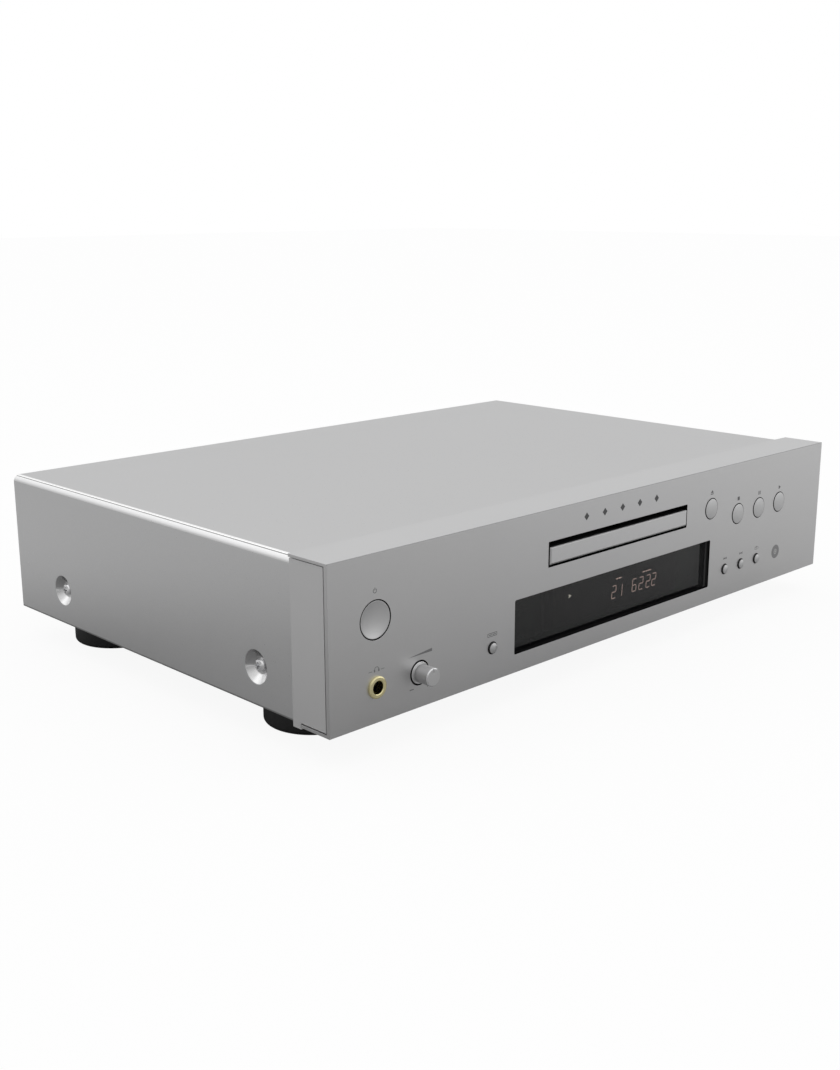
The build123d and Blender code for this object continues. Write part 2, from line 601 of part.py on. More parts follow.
# Buttons: a cap in the panel, a flange behind it and a stem through the subframe to its switch
FLANGE_D0, FLANGE_D1, STEM_END = 2.5, 3.6, 11.7
for name, x, z, style_name in BUTTONS:
    style = STYLES[style_name]
    crown = turned_y(x, style.crown)
    flange_r = style.radius + style.flange
    sides = turned_y(x, style.bevel + [
        (style.radius, FLANGE_D0),
        (flange_r, FLANGE_D0),
        (flange_r, FLANGE_D1),
        (style.stem_r, FLANGE_D1),
        (style.stem_r, STEM_END),
        (0, STEM_END),
    ])
    with BuildPart() as button:
        with BuildSketch(Plane.XY.offset(z)):
            with BuildLine():
                for i in range(0, len(crown) - 1, 2):
                    ThreePointArc(*crown[i:i + 3])
                Polyline(crown[-1], *sides, crown[0])
            make_face()
        revolve(axis=Axis((x, 0, z), (0, 1, 0)))
    finish(button, name)

# Level knob: turned, with a chamfered face, a collar inside the panel hole and a bore from behind
# radius, depth
KNOB_PROFILE = [
    (0, -KNOB_OUT), (4.2, -KNOB_OUT), (4.7, -KNOB_OUT + 0.5), (4.7, -0.5), (5.4, -0.5),
    (5.65, -0.25), (5.65, 2.0), (3.0, 2.0), (3.0, -5.0), (0, -5.0),
]
with BuildPart() as level_knob:
    with BuildSketch(Plane.XY.offset(ROW_LOW)):
        with BuildLine():
            Polyline(*turned_y(KNOB_X, KNOB_PROFILE), close=True)
        make_face()
    revolve(axis=Axis((KNOB_X, 0, ROW_LOW), (0, 1, 0)))
    # fine index line milled across the upper edge of the face
    bar(
        (KNOB_X - 0.25, KNOB_X + 0.25),
        (-KNOB_OUT - 1, -KNOB_OUT + 0.3),
        (ROW_LOW + 2.2, ROW_LOW + 5),
        Mode.SUBTRACT,
    )
finish(level_knob, "level_knob")

# Shaft with a flat on its upper side
with BuildPart() as level_pot_shaft:
    round_y(KNOB_X, ROW_LOW, 3.0, (-5.0, 12.5))
    bar((KNOB_X - 4, KNOB_X + 4), (-6, 2.0), (ROW_LOW + 2.0, ROW_LOW + 4), Mode.SUBTRACT)
    chamfer(level_pot_shaft.edges().filter_by(GeomType.CIRCLE).group_by(Axis.Y)[-1], length=0.3)
finish(level_pot_shaft, "level_pot_shaft")

with BuildPart() as level_pot:
    bar((KNOB_X - 6, KNOB_X + 6), (8.2, 16.9), (ROW_LOW - 7, ROW_LOW + 6))
    round_y(KNOB_X, ROW_LOW, 4.5, (5.2, 8.2))
    round_y(KNOB_X, ROW_LOW, 3.06, (4, 12.7), Mode.SUBTRACT)
finish(level_pot, "level_pot")

# Headphone socket: gold ring screwed through the panel into a moulded body
JACK_BORE_R = 3.3
# radius, depth
RING_PROFILE = [
    (JACK_BORE_R, 8.0), (JACK_BORE_R, -0.95), (3.65, -1.3), (5.0, -1.3), (5.5, -0.95),
    (5.6, -0.5), (5.6, -0.02), (4.5, -0.02), (4.5, 8.0),
]
with BuildPart() as headphone_ring:
    with BuildSketch(Plane.XY.offset(ROW_LOW)):
        with BuildLine():
            Polyline(*turned_y(JACK_X, RING_PROFILE), close=True)
        make_face()
    revolve(axis=Axis((JACK_X, 0, ROW_LOW), (0, 1, 0)))
finish(headphone_ring, "headphone_ring")

with BuildPart() as headphone_jack:
    bar((JACK_X - 7.5, JACK_X + 7.5), (8.05, 36.0), (ROW_LOW - 8, ROW_LOW + 8))
    round_y(JACK_X, ROW_LOW, JACK_BORE_R, (7, 33.0), Mode.SUBTRACT)
    bar((JACK_X - 6, JACK_X + 6), (12.0, 32.0), (ROW_LOW + 6.6, ROW_LOW + 9), Mode.SUBTRACT)
finish(headphone_jack, "headphone_jack")

# ================================================================ disc loader
# Tray door: a bevelled bar that closes the slot
with BuildPart() as tray_door:
    with BuildSketch(facing(0)):
        with Locations((0, 75.2)):
            Rectangle(124.8, 9.6)
    with BuildSketch(facing(-0.7)):
        with Locations((0, 75.45)):
            Rectangle(123.4, 8.3)
    loft()
    bar((-62.4, 62.4), (0, 3.0), (70.4, 80.0))
    bar((-60.0, 60.0), (3.0, TRAY_D0), (72.0, 79.2))
finish(tray_door, "tray_door")

RECESS_Z = 76.8  # floor of the recess for large discs
RACK_Z = 70.8
THROUGH_TRAY = (70, 82)
with BuildPart() as disc_tray:
    bar((-TRAY_HALF, TRAY_HALF), (TRAY_D0, TRAY_D1), (TRAY_Z0, TRAY_Z1))
    # recesses for large and small discs
    round_z(0, DISC_D, 60.4, (RECESS_Z, TRAY_TOP_CUT), Mode.SUBTRACT)
    round_z(0, DISC_D, 40.4, (76.1, 77.5), Mode.SUBTRACT)
    # opening for turntable and pickup, open to the rear so that both clear it as the tray runs out
    round_z(0, DISC_D, 24.0, THROUGH_TRAY, Mode.SUBTRACT)
    bar((-24, 24), (DISC_D, TRAY_D1 + 1), THROUGH_TRAY, Mode.SUBTRACT)
    for side in SIDES:
        # relief pocket in the rear arm, then the runner
        bar((side * 28, side * 58), (147, 179), (77.0, TRAY_TOP_CUT), Mode.SUBTRACT)
        bar((side * 58, side * TRAY_HALF), (8.0, TRAY_D1), (72.0, TRAY_Z0))
    # finger notch in the middle of the front rim
    round_z(0, TRAY_D0 + 11, 11.0, (RECESS_Z, TRAY_TOP_CUT), Mode.SUBTRACT)
    with BuildSketch(Plane.XY.offset(RACK_Z)):
        with BuildLine():
            Polyline(*rack_outline(TRAY_MODULE, RACK_X, 31.0, 179.0, RACK_D, 4.6), close=True)
        make_face()
    extrude(amount=TRAY_Z0 - RACK_Z + 0.3)
finish(disc_tray, "disc_tray")

# Loader frame: moulded floor, side walls with the tray's ledges and keepers, rear wall, four legs, two axle posts
with BuildPart() as loader_frame:
    bar((-LOADER_HALF, LOADER_HALF), (LOADER_D0, LOADER_D1), (57.0, LOADER_FLOOR_Z))
    bar((-48, 48), (54, 184), (56, 60), Mode.SUBTRACT)
    for side in SIDES:
        wall_x = side * LOADER_WALL_X
        bar((wall_x, side * LOADER_HALF), (LOADER_D0, LOADER_D1), (LOADER_FLOOR_Z, LOADER_TOP))
        bar((side * 59.8, wall_x), (24, 211), (69.9, 71.9))
        for d in (26, 96, 186):
            bar((side * 60.9, wall_x), (d, d + 14), (79.5, 81.5))
    bar((-LOADER_HALF, LOADER_HALF), (211, LOADER_D1), (LOADER_FLOOR_Z, LOADER_TOP))
    for x, d in LEGS:
        bar((math.copysign(66.0, x), x), (d - 5, d + 5), (50.0, LOADER_FLOOR_Z))
        round_z(x, d, 6.0, (BASE_Z1 + 0.05, LOADER_FLOOR_Z))
        round_z(x, d, 1.56, (BASE_Z1 - 1, BASE_Z1 + 10), Mode.SUBTRACT)
    # axle posts, then the shoulders around their feet
    round_z(DRIVE_X, RACK_D, 2.0, (LOADER_FLOOR_Z, 74.2))
    round_z(BELT_X, RACK_D, AXLE_R, (LOADER_FLOOR_Z, 69.8))
    round_z(DRIVE_X, RACK_D, 4.0, (LOADER_FLOOR_Z, 64.6))
    round_z(BELT_X, RACK_D, 3.0, (LOADER_FLOOR_Z, 59.6))
    round_z(MOTOR_X, RACK_D, 4.5, (56, 60), Mode.SUBTRACT)
    # pins for the dampers
    for x, d in DAMPERS:
        round_z(x, d, 1.5, (LOADER_FLOOR_Z, 67.0))
finish(loader_frame, "loader_frame")

with BuildPart() as loading_motor:
    round_z(MOTOR_X, RACK_D, 10.5, (36.5, 56.9))
    fillet(loading_motor.edges().group_by(Axis.Z)[0], radius=1.2)
    round_z(MOTOR_X, RACK_D, 4.0, (56.9, 59.0))
    round_z(MOTOR_X, RACK_D, SHAFT_BORE_R, (46, 60), Mode.SUBTRACT)
    # terminals
    for side in SIDES:
        bar(
            (MOTOR_X + side * 6, MOTOR_X + side * 4.8),
            (RACK_D - 1.5, RACK_D + 1.5),
            (33.0, 36.5),
        )
finish(loading_motor, "loading_motor")

# Motor pulley and its shaft
with BuildPart() as motor_pulley:
    round_z(MOTOR_X, RACK_D, 4.3, (60.0, PULLEY_TOP))
    with BuildSketch(Plane.XY.offset(GROOVE_Z)):
        with Locations((MOTOR_X, at(RACK_D))):
            Circle(6.0)
            Circle(MOTOR_GROOVE_R, mode=Mode.SUBTRACT)
    extrude(amount=GROOVE_H, mode=Mode.SUBTRACT)
    round_z(MOTOR_X, RACK_D, 1.0, (46.5, 60.0))
finish(motor_pulley, "motor_pulley")

# Belt: the hull around both grooves, less a smaller hull
with BuildPart() as drive_belt:
    # lower Z, height, distance outside the groove floors
    for z, height, outside, mode in (
        (61.4, 1.2, 1.15, Mode.ADD),
        (61.0, 2.0, 0.05, Mode.SUBTRACT),
    ):
        with BuildSketch(Plane.XY.offset(z)):
            with Locations((BELT_X, at(RACK_D))):
                Circle(BELT_GROOVE_R + outside)
            with Locations((MOTOR_X, at(RACK_D))):
                Circle(MOTOR_GROOVE_R + outside)
            make_hull()
        extrude(amount=height, mode=mode)
finish(drive_belt, "drive_belt")

# Belt wheel with its pinion, and six round pockets in its top
with BuildPart() as pulley_gear:
    round_z(BELT_X, RACK_D, 13.2, (59.8, PULLEY_TOP))
    with BuildSketch(Plane.XY.offset(GROOVE_Z)):
        with Locations((BELT_X, at(RACK_D))):
            Circle(15.0)
            Circle(BELT_GROOVE_R, mode=Mode.SUBTRACT)
    extrude(amount=GROOVE_H, mode=Mode.SUBTRACT)
    with BuildSketch(Plane.XY.offset(PULLEY_TOP)):
        with BuildLine():
            Polyline(
                *gear_outline(BELT_PINION_TEETH, WHEEL_MODULE, 195.0, BELT_X, at(RACK_D)),
                close=True,
            )
        make_face()
    extrude(amount=5.4)
    round_z(BELT_X, RACK_D, AXLE_BORE_R, (59, 70), Mode.SUBTRACT)
    for degrees in range(0, 360, 60):
        angle = math.radians(degrees)
        with Locations((BELT_X + 8.4 * math.cos(angle), at(RACK_D) + 8.4 * math.sin(angle), 63.4)):
            Cylinder(2.4, 1.4, mode=Mode.SUBTRACT)
finish(pulley_gear, "pulley_gear")

# Drive gear: wheel below, rack pinion above
PINION_Z = 70.9
with BuildPart() as drive_gear:
    with BuildSketch(Plane.XY.offset(64.9)):
        with BuildLine():
            Polyline(
                *gear_outline(WHEEL_TEETH, WHEEL_MODULE, 0.0, DRIVE_X, at(RACK_D)),
                close=True,
            )
        make_face()
    extrude(amount=4.1)
    round_z(DRIVE_X, RACK_D, 7.0, (69.0, PINION_Z))
    with BuildSketch(Plane.XY.offset(PINION_Z)):
        with BuildLine():
            Polyline(
                *gear_outline(PINION_TEETH, TRAY_MODULE, 180.0, DRIVE_X, at(RACK_D)),
                close=True,
            )
        make_face()
    extrude(amount=3.5)
    round_z(DRIVE_X, RACK_D, 2.06, (64, 75), Mode.SUBTRACT)
finish(drive_gear, "drive_gear")

# Clamp bridge: steel strap over the tray, folded edges, a round hole for the puck
with BuildPart() as clamp_bridge:
    bar((-LOADER_HALF, LOADER_HALF), (58, 106), (BRIDGE_Z0, BRIDGE_Z1))
    bar((-60, 60), (58, 59.2), (BRIDGE_Z1, 89.0))
    bar((-60, 60), (104.8, 106), (BRIDGE_Z1, 89.0))
    round_z(0, DISC_D, 14.3, (83, 90), Mode.SUBTRACT)
    for x in (-64.9, 64.9):
        for d in (64, 100):
            round_z(x, d, 1.0, (83, 87), Mode.SUBTRACT)
finish(clamp_bridge, "clamp_bridge")

with BuildPart() as clamp_puck:
    round_z(0, DISC_D, 13.5, (79.3, 85.5))
    round_z(0, DISC_D, 16.8, (85.5, 87.3))
    round_z(0, DISC_D, 8.3, (79.0, 81.6), Mode.SUBTRACT)
    round_z(0, DISC_D, 9.0, (86.4, 88), Mode.SUBTRACT)
    chamfer(clamp_puck.edges().filter_by(GeomType.CIRCLE).group_by(Axis.Z)[-1], length=0.4)
finish(clamp_puck, "clamp_puck")

# ================================================================ traverse: turntable, pickup and sled drive
TRAVERSE_CUT = (61, 65)  # Z of a cut right through the base plate
with BuildPart() as traverse_base:
    bar((-46, 46), (58, 180), (TRAVERSE_Z0, TRAVERSE_Z1))
    for x, d in DAMPERS:
        ear_x = (math.copysign(44, x), math.copysign(57.5, x))
        bar(ear_x, (d - 6, d + 6), (TRAVERSE_Z0, TRAVERSE_Z1))
        round_z(x, d, 3.1, TRAVERSE_CUT, Mode.SUBTRACT)
    # window under the pickup's path, hole for the sled motor's shaft
    bar((-14, 14), (98, 160), TRAVERSE_CUT, Mode.SUBTRACT)
    round_z(SLED_MOTOR_X, SLED_MOTOR_D, 2.2, TRAVERSE_CUT, Mode.SUBTRACT)
    # rod posts
    for x in (-ROD_X, ROD_X):
        for d in (84.0, 164.0):
            bar((x - 3.2, x + 3.2), (d, d + 4.0), (TRAVERSE_Z1, 70.2))
            round_y(x, ROD_Z, ROD_R, (d - 1, d + 5), Mode.SUBTRACT)
    # sled gear's axle and its shoulder
    round_z(SLED_X, SLED_RACK_D, AXLE_R, (TRAVERSE_Z1, 71.0))
    round_z(SLED_X, SLED_RACK_D, 3.0, (TRAVERSE_Z1, 64.5))
    # stiffening flanges
    for side in SIDES:
        bar((side * 46, side * 44.8), (76, 162), (TRAVERSE_Z1, 67.0))
finish(traverse_base, "traverse_base")

# Rubber grommets: spools gripping the base plate's ears, on pins of the loader floor
with BuildPart() as dampers:
    for x, d in DAMPERS:
        round_z(x, d, 5.2, (59.05, TRAVERSE_Z0 - 0.05))
        round_z(x, d, 3.05, (TRAVERSE_Z0 - 0.05, TRAVERSE_Z1 + 0.05))
        round_z(x, d, 5.2, (TRAVERSE_Z1 + 0.05, 66.0))
        round_z(x, d, 1.55, (58, 67), Mode.SUBTRACT)
finish(dampers, "dampers")

with BuildPart() as spindle_motor:
    round_z(0, DISC_D, 12.0, (TRAVERSE_Z1 + 0.05, 70.4))
    fillet(spindle_motor.edges().group_by(Axis.Z)[-1], radius=0.8)
    round_z(0, DISC_D, SHAFT_BORE_R, (64.4, 71), Mode.SUBTRACT)
finish(spindle_motor, "spindle_motor")

# Turntable: shaft, hub, platter and centring cone; radius, Z
TURNTABLE_PROFILE = [
    (0, 64.6), (1.0, 64.6), (1.0, 70.8), (6.0, 70.8), (6.0, 75.0), (15.3, 75.0),
    (15.3, 77.4), (14.9, 77.8), (7.4, 77.8), (6.6, 79.2), (4.2, 80.2), (0, 80.2),
]
with BuildPart() as turntable:
    with BuildSketch(facing(DISC_D)):
        with BuildLine():
            Polyline(*TURNTABLE_PROFILE, close=True)
        make_face()
    revolve(axis=Axis((0, at(DISC_D), 0), (0, 0, 1)))
finish(turntable, "turntable")

with BuildPart() as guide_rods:
    for x in (-ROD_X, ROD_X):
        round_y(x, ROD_Z, ROD_R, (84.0, 168.0))
finish(guide_rods, "guide_rods")

PICKUP_Z0, PICKUP_Z1 = 64.2, 71.4
with BuildPart() as optical_pickup:
    bar((-21.5, 21.6), (SLED_D0, SLED_D1), (PICKUP_Z0, PICKUP_Z1))
    # rounded nose that looks at the disc, with the well for the lens
    round_z(0, LENS_D, 7.6, (PICKUP_Z1, 74.6))
    bar((-7.6, 7.6), (LENS_D, SLED_D1 - 2), (PICKUP_Z1, 74.0))
    round_z(0, LENS_D, 4.6, (69.0, 75), Mode.SUBTRACT)
    for x in (-ROD_X, ROD_X):
        round_y(x, ROD_Z, ROD_R + 0.06, (SLED_D0 - 1, SLED_D1 + 1), Mode.SUBTRACT)
    # block below, into the base plate's window
    bar((-12, 12), (SLED_D0 + 3, SLED_D1 - 3), (60.5, PICKUP_Z0))
    with BuildSketch(Plane.XY.offset(65.0)):
        with BuildLine():
            Polyline(
                *rack_outline(SLED_MODULE, SLED_RACK_X, 95.0, 138.5, SLED_RACK_D, 4.4),
                close=True,
            )
        make_face()
    extrude(amount=3.0)
finish(optical_pickup, "optical_pickup")

# Lens: a round holder with a dome, cut flat on top
with BuildPart() as objective_lens:
    round_z(0, LENS_D, 4.0, (71.0, 75.2))
    fillet(objective_lens.edges().group_by(Axis.Z)[-1], radius=0.5)
    with Locations((0, at(LENS_D), 75.0)):
        Sphere(2.4, arc_size1=-90, arc_size2=90)
    bar((-5, 5), (LENS_D - 5, LENS_D + 5), (75.7, 79), Mode.SUBTRACT)
finish(objective_lens, "objective_lens")

# Sled gear: rack pinion below, wheel above
with BuildPart() as sled_gear:
    # teeth, phase in degrees, lower Z, height
    for teeth, phase, z, height in (
        (SLED_PINION_TEETH, 180.0, 64.7, 3.8),
        (SLED_WHEEL_TEETH, SLED_MOTOR_ANGLE, 68.5, 1.9),
    ):
        with BuildSketch(Plane.XY.offset(z)):
            with BuildLine():
                Polyline(
                    *gear_outline(teeth, SLED_MODULE, phase, SLED_X, at(SLED_RACK_D)),
                    close=True,
                )
            make_face()
        extrude(amount=height)
    round_z(SLED_X, SLED_RACK_D, AXLE_BORE_R, (64, 71), Mode.SUBTRACT)
finish(sled_gear, "sled_gear")

with BuildPart() as sled_motor:
    round_z(SLED_MOTOR_X, SLED_MOTOR_D, 8.0, (44.0, TRAVERSE_Z0 - 0.1))
    fillet(sled_motor.edges().group_by(Axis.Z)[0], radius=1.0)
    round_z(SLED_MOTOR_X, SLED_MOTOR_D, SHAFT_BORE_R, (52, 63), Mode.SUBTRACT)
finish(sled_motor, "sled_motor")

# Sled pinion on its motor shaft
SLED_PINION_Z = 68.2
SLED_PINION_PHASE = SLED_MOTOR_ANGLE + 195.0  # turned half a tooth to mesh with the wheel
with BuildPart() as sled_pinion:
    round_z(SLED_MOTOR_X, SLED_MOTOR_D, 1.0, (52.5, SLED_PINION_Z))
    with BuildSketch(Plane.XY.offset(SLED_PINION_Z)):
        with BuildLine():
            Polyline(
                *gear_outline(
                    SLED_MOTOR_TEETH, SLED_MODULE, SLED_PINION_PHASE, SLED_MOTOR_X, at(SLED_MOTOR_D)
                ),
                close=True,
            )
        make_face()
    extrude(amount=2.5)
finish(sled_pinion, "sled_pinion")

# ================================================================ electronics
with BuildPart() as transformer:
    bar((-183, -117), (188, 216), (24.0, 76.0))
    bar((-171, -129), (180, 224), (32.0, 68.0))
    fillet(transformer.edges().filter_by(Axis.Z).group_by(Axis.Y)[0], radius=4.0)
    fillet(transformer.edges().filter_by(Axis.Z).group_by(Axis.Y)[-1], radius=4.0)
    bar((-190, -110), (188, 216), (BASE_Z1 + 0.02, 24.0))
finish(transformer, "transformer")

# x, depth of the upright cylinders on the power board
LARGE_CAPACITORS = [(-185, 92), (-160, 92)]
SMALL_CAPACITORS = [(-130, 84), (-130, 98), (-186, 122), (-172, 122)]
with BuildPart() as power_board:
    bar((-205, -108), (60, 150), (BOARD_Z0, BOARD_Z1))
    for x, d in POWER_BOSSES:
        round_z(x, d, 1.6, (27, 30), Mode.SUBTRACT)
    for x, d in LARGE_CAPACITORS:
        round_z(x, d, 11.0, (BOARD_Z1, 62.0))
    for x, d in SMALL_CAPACITORS:
        round_z(x, d, 5.0, (BOARD_Z1, 45.0))
    # finned heat sink with two devices on its front
    bar((-152, -122), (118, 122), (BOARD_Z1, 64.0))
    for k in range(6):
        bar((-150 + k * 5, -148.5 + k * 5), (122, 132), (BOARD_Z1, 64.0))
    for x in (-144, -130):
        bar((x - 5, x + 5), (113.6, 118), (36.0, 51.0))
        bar((x - 3.4, x + 3.4), (114.6, 115.6), (BOARD_Z1, 36.0))
    bar((-202, -186), (130, 140), (BOARD_Z1, 37.0))
finish(power_board, "power_board")

# x, depth of the upright cylinders on the main board
MAIN_CAPACITORS = [
    (180, 200), (180, 214), (180, 228), (190, 236), (140, 240),
    (140, 226), (102, 200), (102, 214), (150, 180),
]
with BuildPart() as main_board:
    bar((84, 206), (100, 286), (BOARD_Z0, BOARD_Z1))
    for x, d in MAIN_BOSSES:
        round_z(x, d, 1.6, (27, 30), Mode.SUBTRACT)
    # four chips
    bar((118, 142), (140, 164), (BOARD_Z1, 30.8))
    bar((160, 172), (200, 212), (BOARD_Z1, 31.0))
    bar((150, 162), (228, 236), (BOARD_Z1, 31.0))
    bar((118, 130), (206, 213), (BOARD_Z1, 31.0))
    # connector for the ribbon
    bar((140, 176), (104, 111), (BOARD_Z1, 34.5))
    bar((142, 174), (107.6, 108.7), (29.6, 35.5), Mode.SUBTRACT)
    for x, d in MAIN_CAPACITORS:
        round_z(x, d, 4.0, (BOARD_Z1, 41.0))
    bar((180, 192), (150, 156), (BOARD_Z1, 33.0))
finish(main_board, "main_board")

# Flat cable from the front board to the main board, sloping down between two bends
# depth, Z: out along one face, back along the other
RIBBON_PROFILE = [
    (19.6, 50.3), (34.0, 50.3), (100.4, 37.3), (108.3, 37.3), (108.3, 29.8),
    (108.0, 29.8), (108.0, 37.0), (100.3, 37.0), (33.9, 50.0), (19.6, 50.0),
]
with BuildPart() as ribbon_cable:
    with BuildSketch(Plane.YZ.offset(143)):
        with BuildLine():
            Polyline(*[(at(d), z) for d, z in RIBBON_PROFILE], close=True)
        make_face()
    extrude(amount=30)
finish(ribbon_cable, "ribbon_cable")


# ---------------------------------------------------------------- rear sockets
SOCKET_FRONT = BASE_REAR  # depth where the sockets leave their housings
SOCKET_BODY_Z = (29.05, 48.0)


def phono_socket(x):
    """Collar and barrel standing out of a housing, with the bore for the pin."""
    round_y(x, SOCKET_Z, 6.4, (SOCKET_FRONT, 290.6))
    round_y(x, SOCKET_Z, 4.15, (290.6, JACKS_OUT))
    round_y(x, SOCKET_Z, 1.7, (284.0, JACKS_OUT + 1), Mode.SUBTRACT)


with BuildPart() as analog_jacks:
    bar((159, 195), (268, SOCKET_FRONT), SOCKET_BODY_Z)
    for x in ANALOG_X:
        phono_socket(x)
    end_circles = analog_jacks.edges().filter_by(GeomType.CIRCLE).group_by(Axis.Y)[-1]
    chamfer(end_circles.filter_by(lambda e: e.radius > 3), length=0.5)
finish(analog_jacks, "analog_jacks")

with BuildPart() as digital_jacks:
    bar((112, 148), (270, SOCKET_FRONT), SOCKET_BODY_Z)
    phono_socket(COAXIAL_X)
    # square optical socket
    bar((115.4, 126.6), (SOCKET_FRONT, 292.0), (34.4, 45.6))
    bar((117.4, 124.6), (289.0, 293.0), (36.4, 43.6), Mode.SUBTRACT)
finish(digital_jacks, "digital_jacks")

# Mains inlet: a body through the rear panel, a flange behind it, a well with three pins
INLET_BODY_X = (INLET_X - 13.8, INLET_X + 13.8)
with BuildPart() as ac_inlet:
    bar(INLET_BODY_X, (262.0, REAR_D1), (36.0, 56.0))
    fillet(ac_inlet.edges().filter_by(Axis.Y), radius=2.6)
    bar((-202.0, -168.0), (289.0, 291.0), (33.5, 58.5))
    bar(INLET_BODY_X, (288.0, 290.0), (39.0, 53.0))
    bar((-197.0, -173.0), (274.0, 292.0), (38.0, 54.0), Mode.SUBTRACT)
    for x, z in ((-192, 43.5), (-178, 43.5), (INLET_X, 48.5)):
        bar((x - 1.0, x + 1.0), (273.0, 288.5), (z - 2.0, z + 2.0))
finish(ac_inlet, "ac_inlet")
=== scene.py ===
"""Looks of the full-width disc player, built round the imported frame.

The row frame is in metres: x to the right, y to the back, z up from the table. Sizes here are
in millimetres unless a comment says otherwise, with depth counted back from the front panel's
face. place() turns them into metres.
"""
import math

import bpy
from mathutils import Matrix, Vector


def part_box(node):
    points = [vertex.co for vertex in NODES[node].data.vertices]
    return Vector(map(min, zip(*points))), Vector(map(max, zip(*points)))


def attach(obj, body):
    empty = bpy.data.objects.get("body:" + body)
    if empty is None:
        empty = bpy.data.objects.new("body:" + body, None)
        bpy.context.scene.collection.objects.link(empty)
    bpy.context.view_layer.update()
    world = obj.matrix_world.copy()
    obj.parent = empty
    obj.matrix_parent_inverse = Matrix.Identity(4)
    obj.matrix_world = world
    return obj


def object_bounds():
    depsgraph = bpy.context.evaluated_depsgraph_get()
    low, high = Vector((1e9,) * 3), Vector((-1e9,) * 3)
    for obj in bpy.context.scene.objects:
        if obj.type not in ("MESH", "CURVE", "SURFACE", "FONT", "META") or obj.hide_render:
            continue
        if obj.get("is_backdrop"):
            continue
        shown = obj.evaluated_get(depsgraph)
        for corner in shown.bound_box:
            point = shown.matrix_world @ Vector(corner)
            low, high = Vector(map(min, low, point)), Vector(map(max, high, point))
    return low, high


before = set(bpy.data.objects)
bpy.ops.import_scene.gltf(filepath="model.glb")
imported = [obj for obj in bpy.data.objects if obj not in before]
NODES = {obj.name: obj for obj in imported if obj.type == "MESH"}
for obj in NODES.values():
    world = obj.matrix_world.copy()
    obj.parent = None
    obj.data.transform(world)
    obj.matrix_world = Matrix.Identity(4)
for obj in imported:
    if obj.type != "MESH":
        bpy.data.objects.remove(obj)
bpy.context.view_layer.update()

scene = bpy.context.scene
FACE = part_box("front_panel")[0].y  # metres

# openings of the front panel: (x range, z range)
WINDOW = ((-90.6, 90.6), (26.0, 57.1))
SLOT = ((-64.2, 64.2), (68.4, 83.8))
PANEL_BACK = 4.0
HOLE_MARGIN = 0.12
# round holes: x, z, radius
HOLES = [
    (-188.2, 68.3, 10.0), (89.2, 76.3, 6.7), (119.0, 68.3, 6.7), (143.0, 68.3, 6.7),
    (167.0, 68.3, 6.7), (107.3, 34.7, 3.45), (125.3, 34.7, 3.45), (143.4, 34.7, 3.45),
    (-106.8, 34.7, 3.45), (-159.3, 34.7, 6.5), (-187.8, 34.7, 4.6),
]
DISC_DEPTH = 82  # depth of the disc's axis, at x = 0
JACK_Z = 40      # height of the rear sockets' axes


def place(x, depth, z):
    return Vector((x / 1000, FACE + depth / 1000, z / 1000))


def centre(node):
    low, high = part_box(node)
    return (low + high) / 2


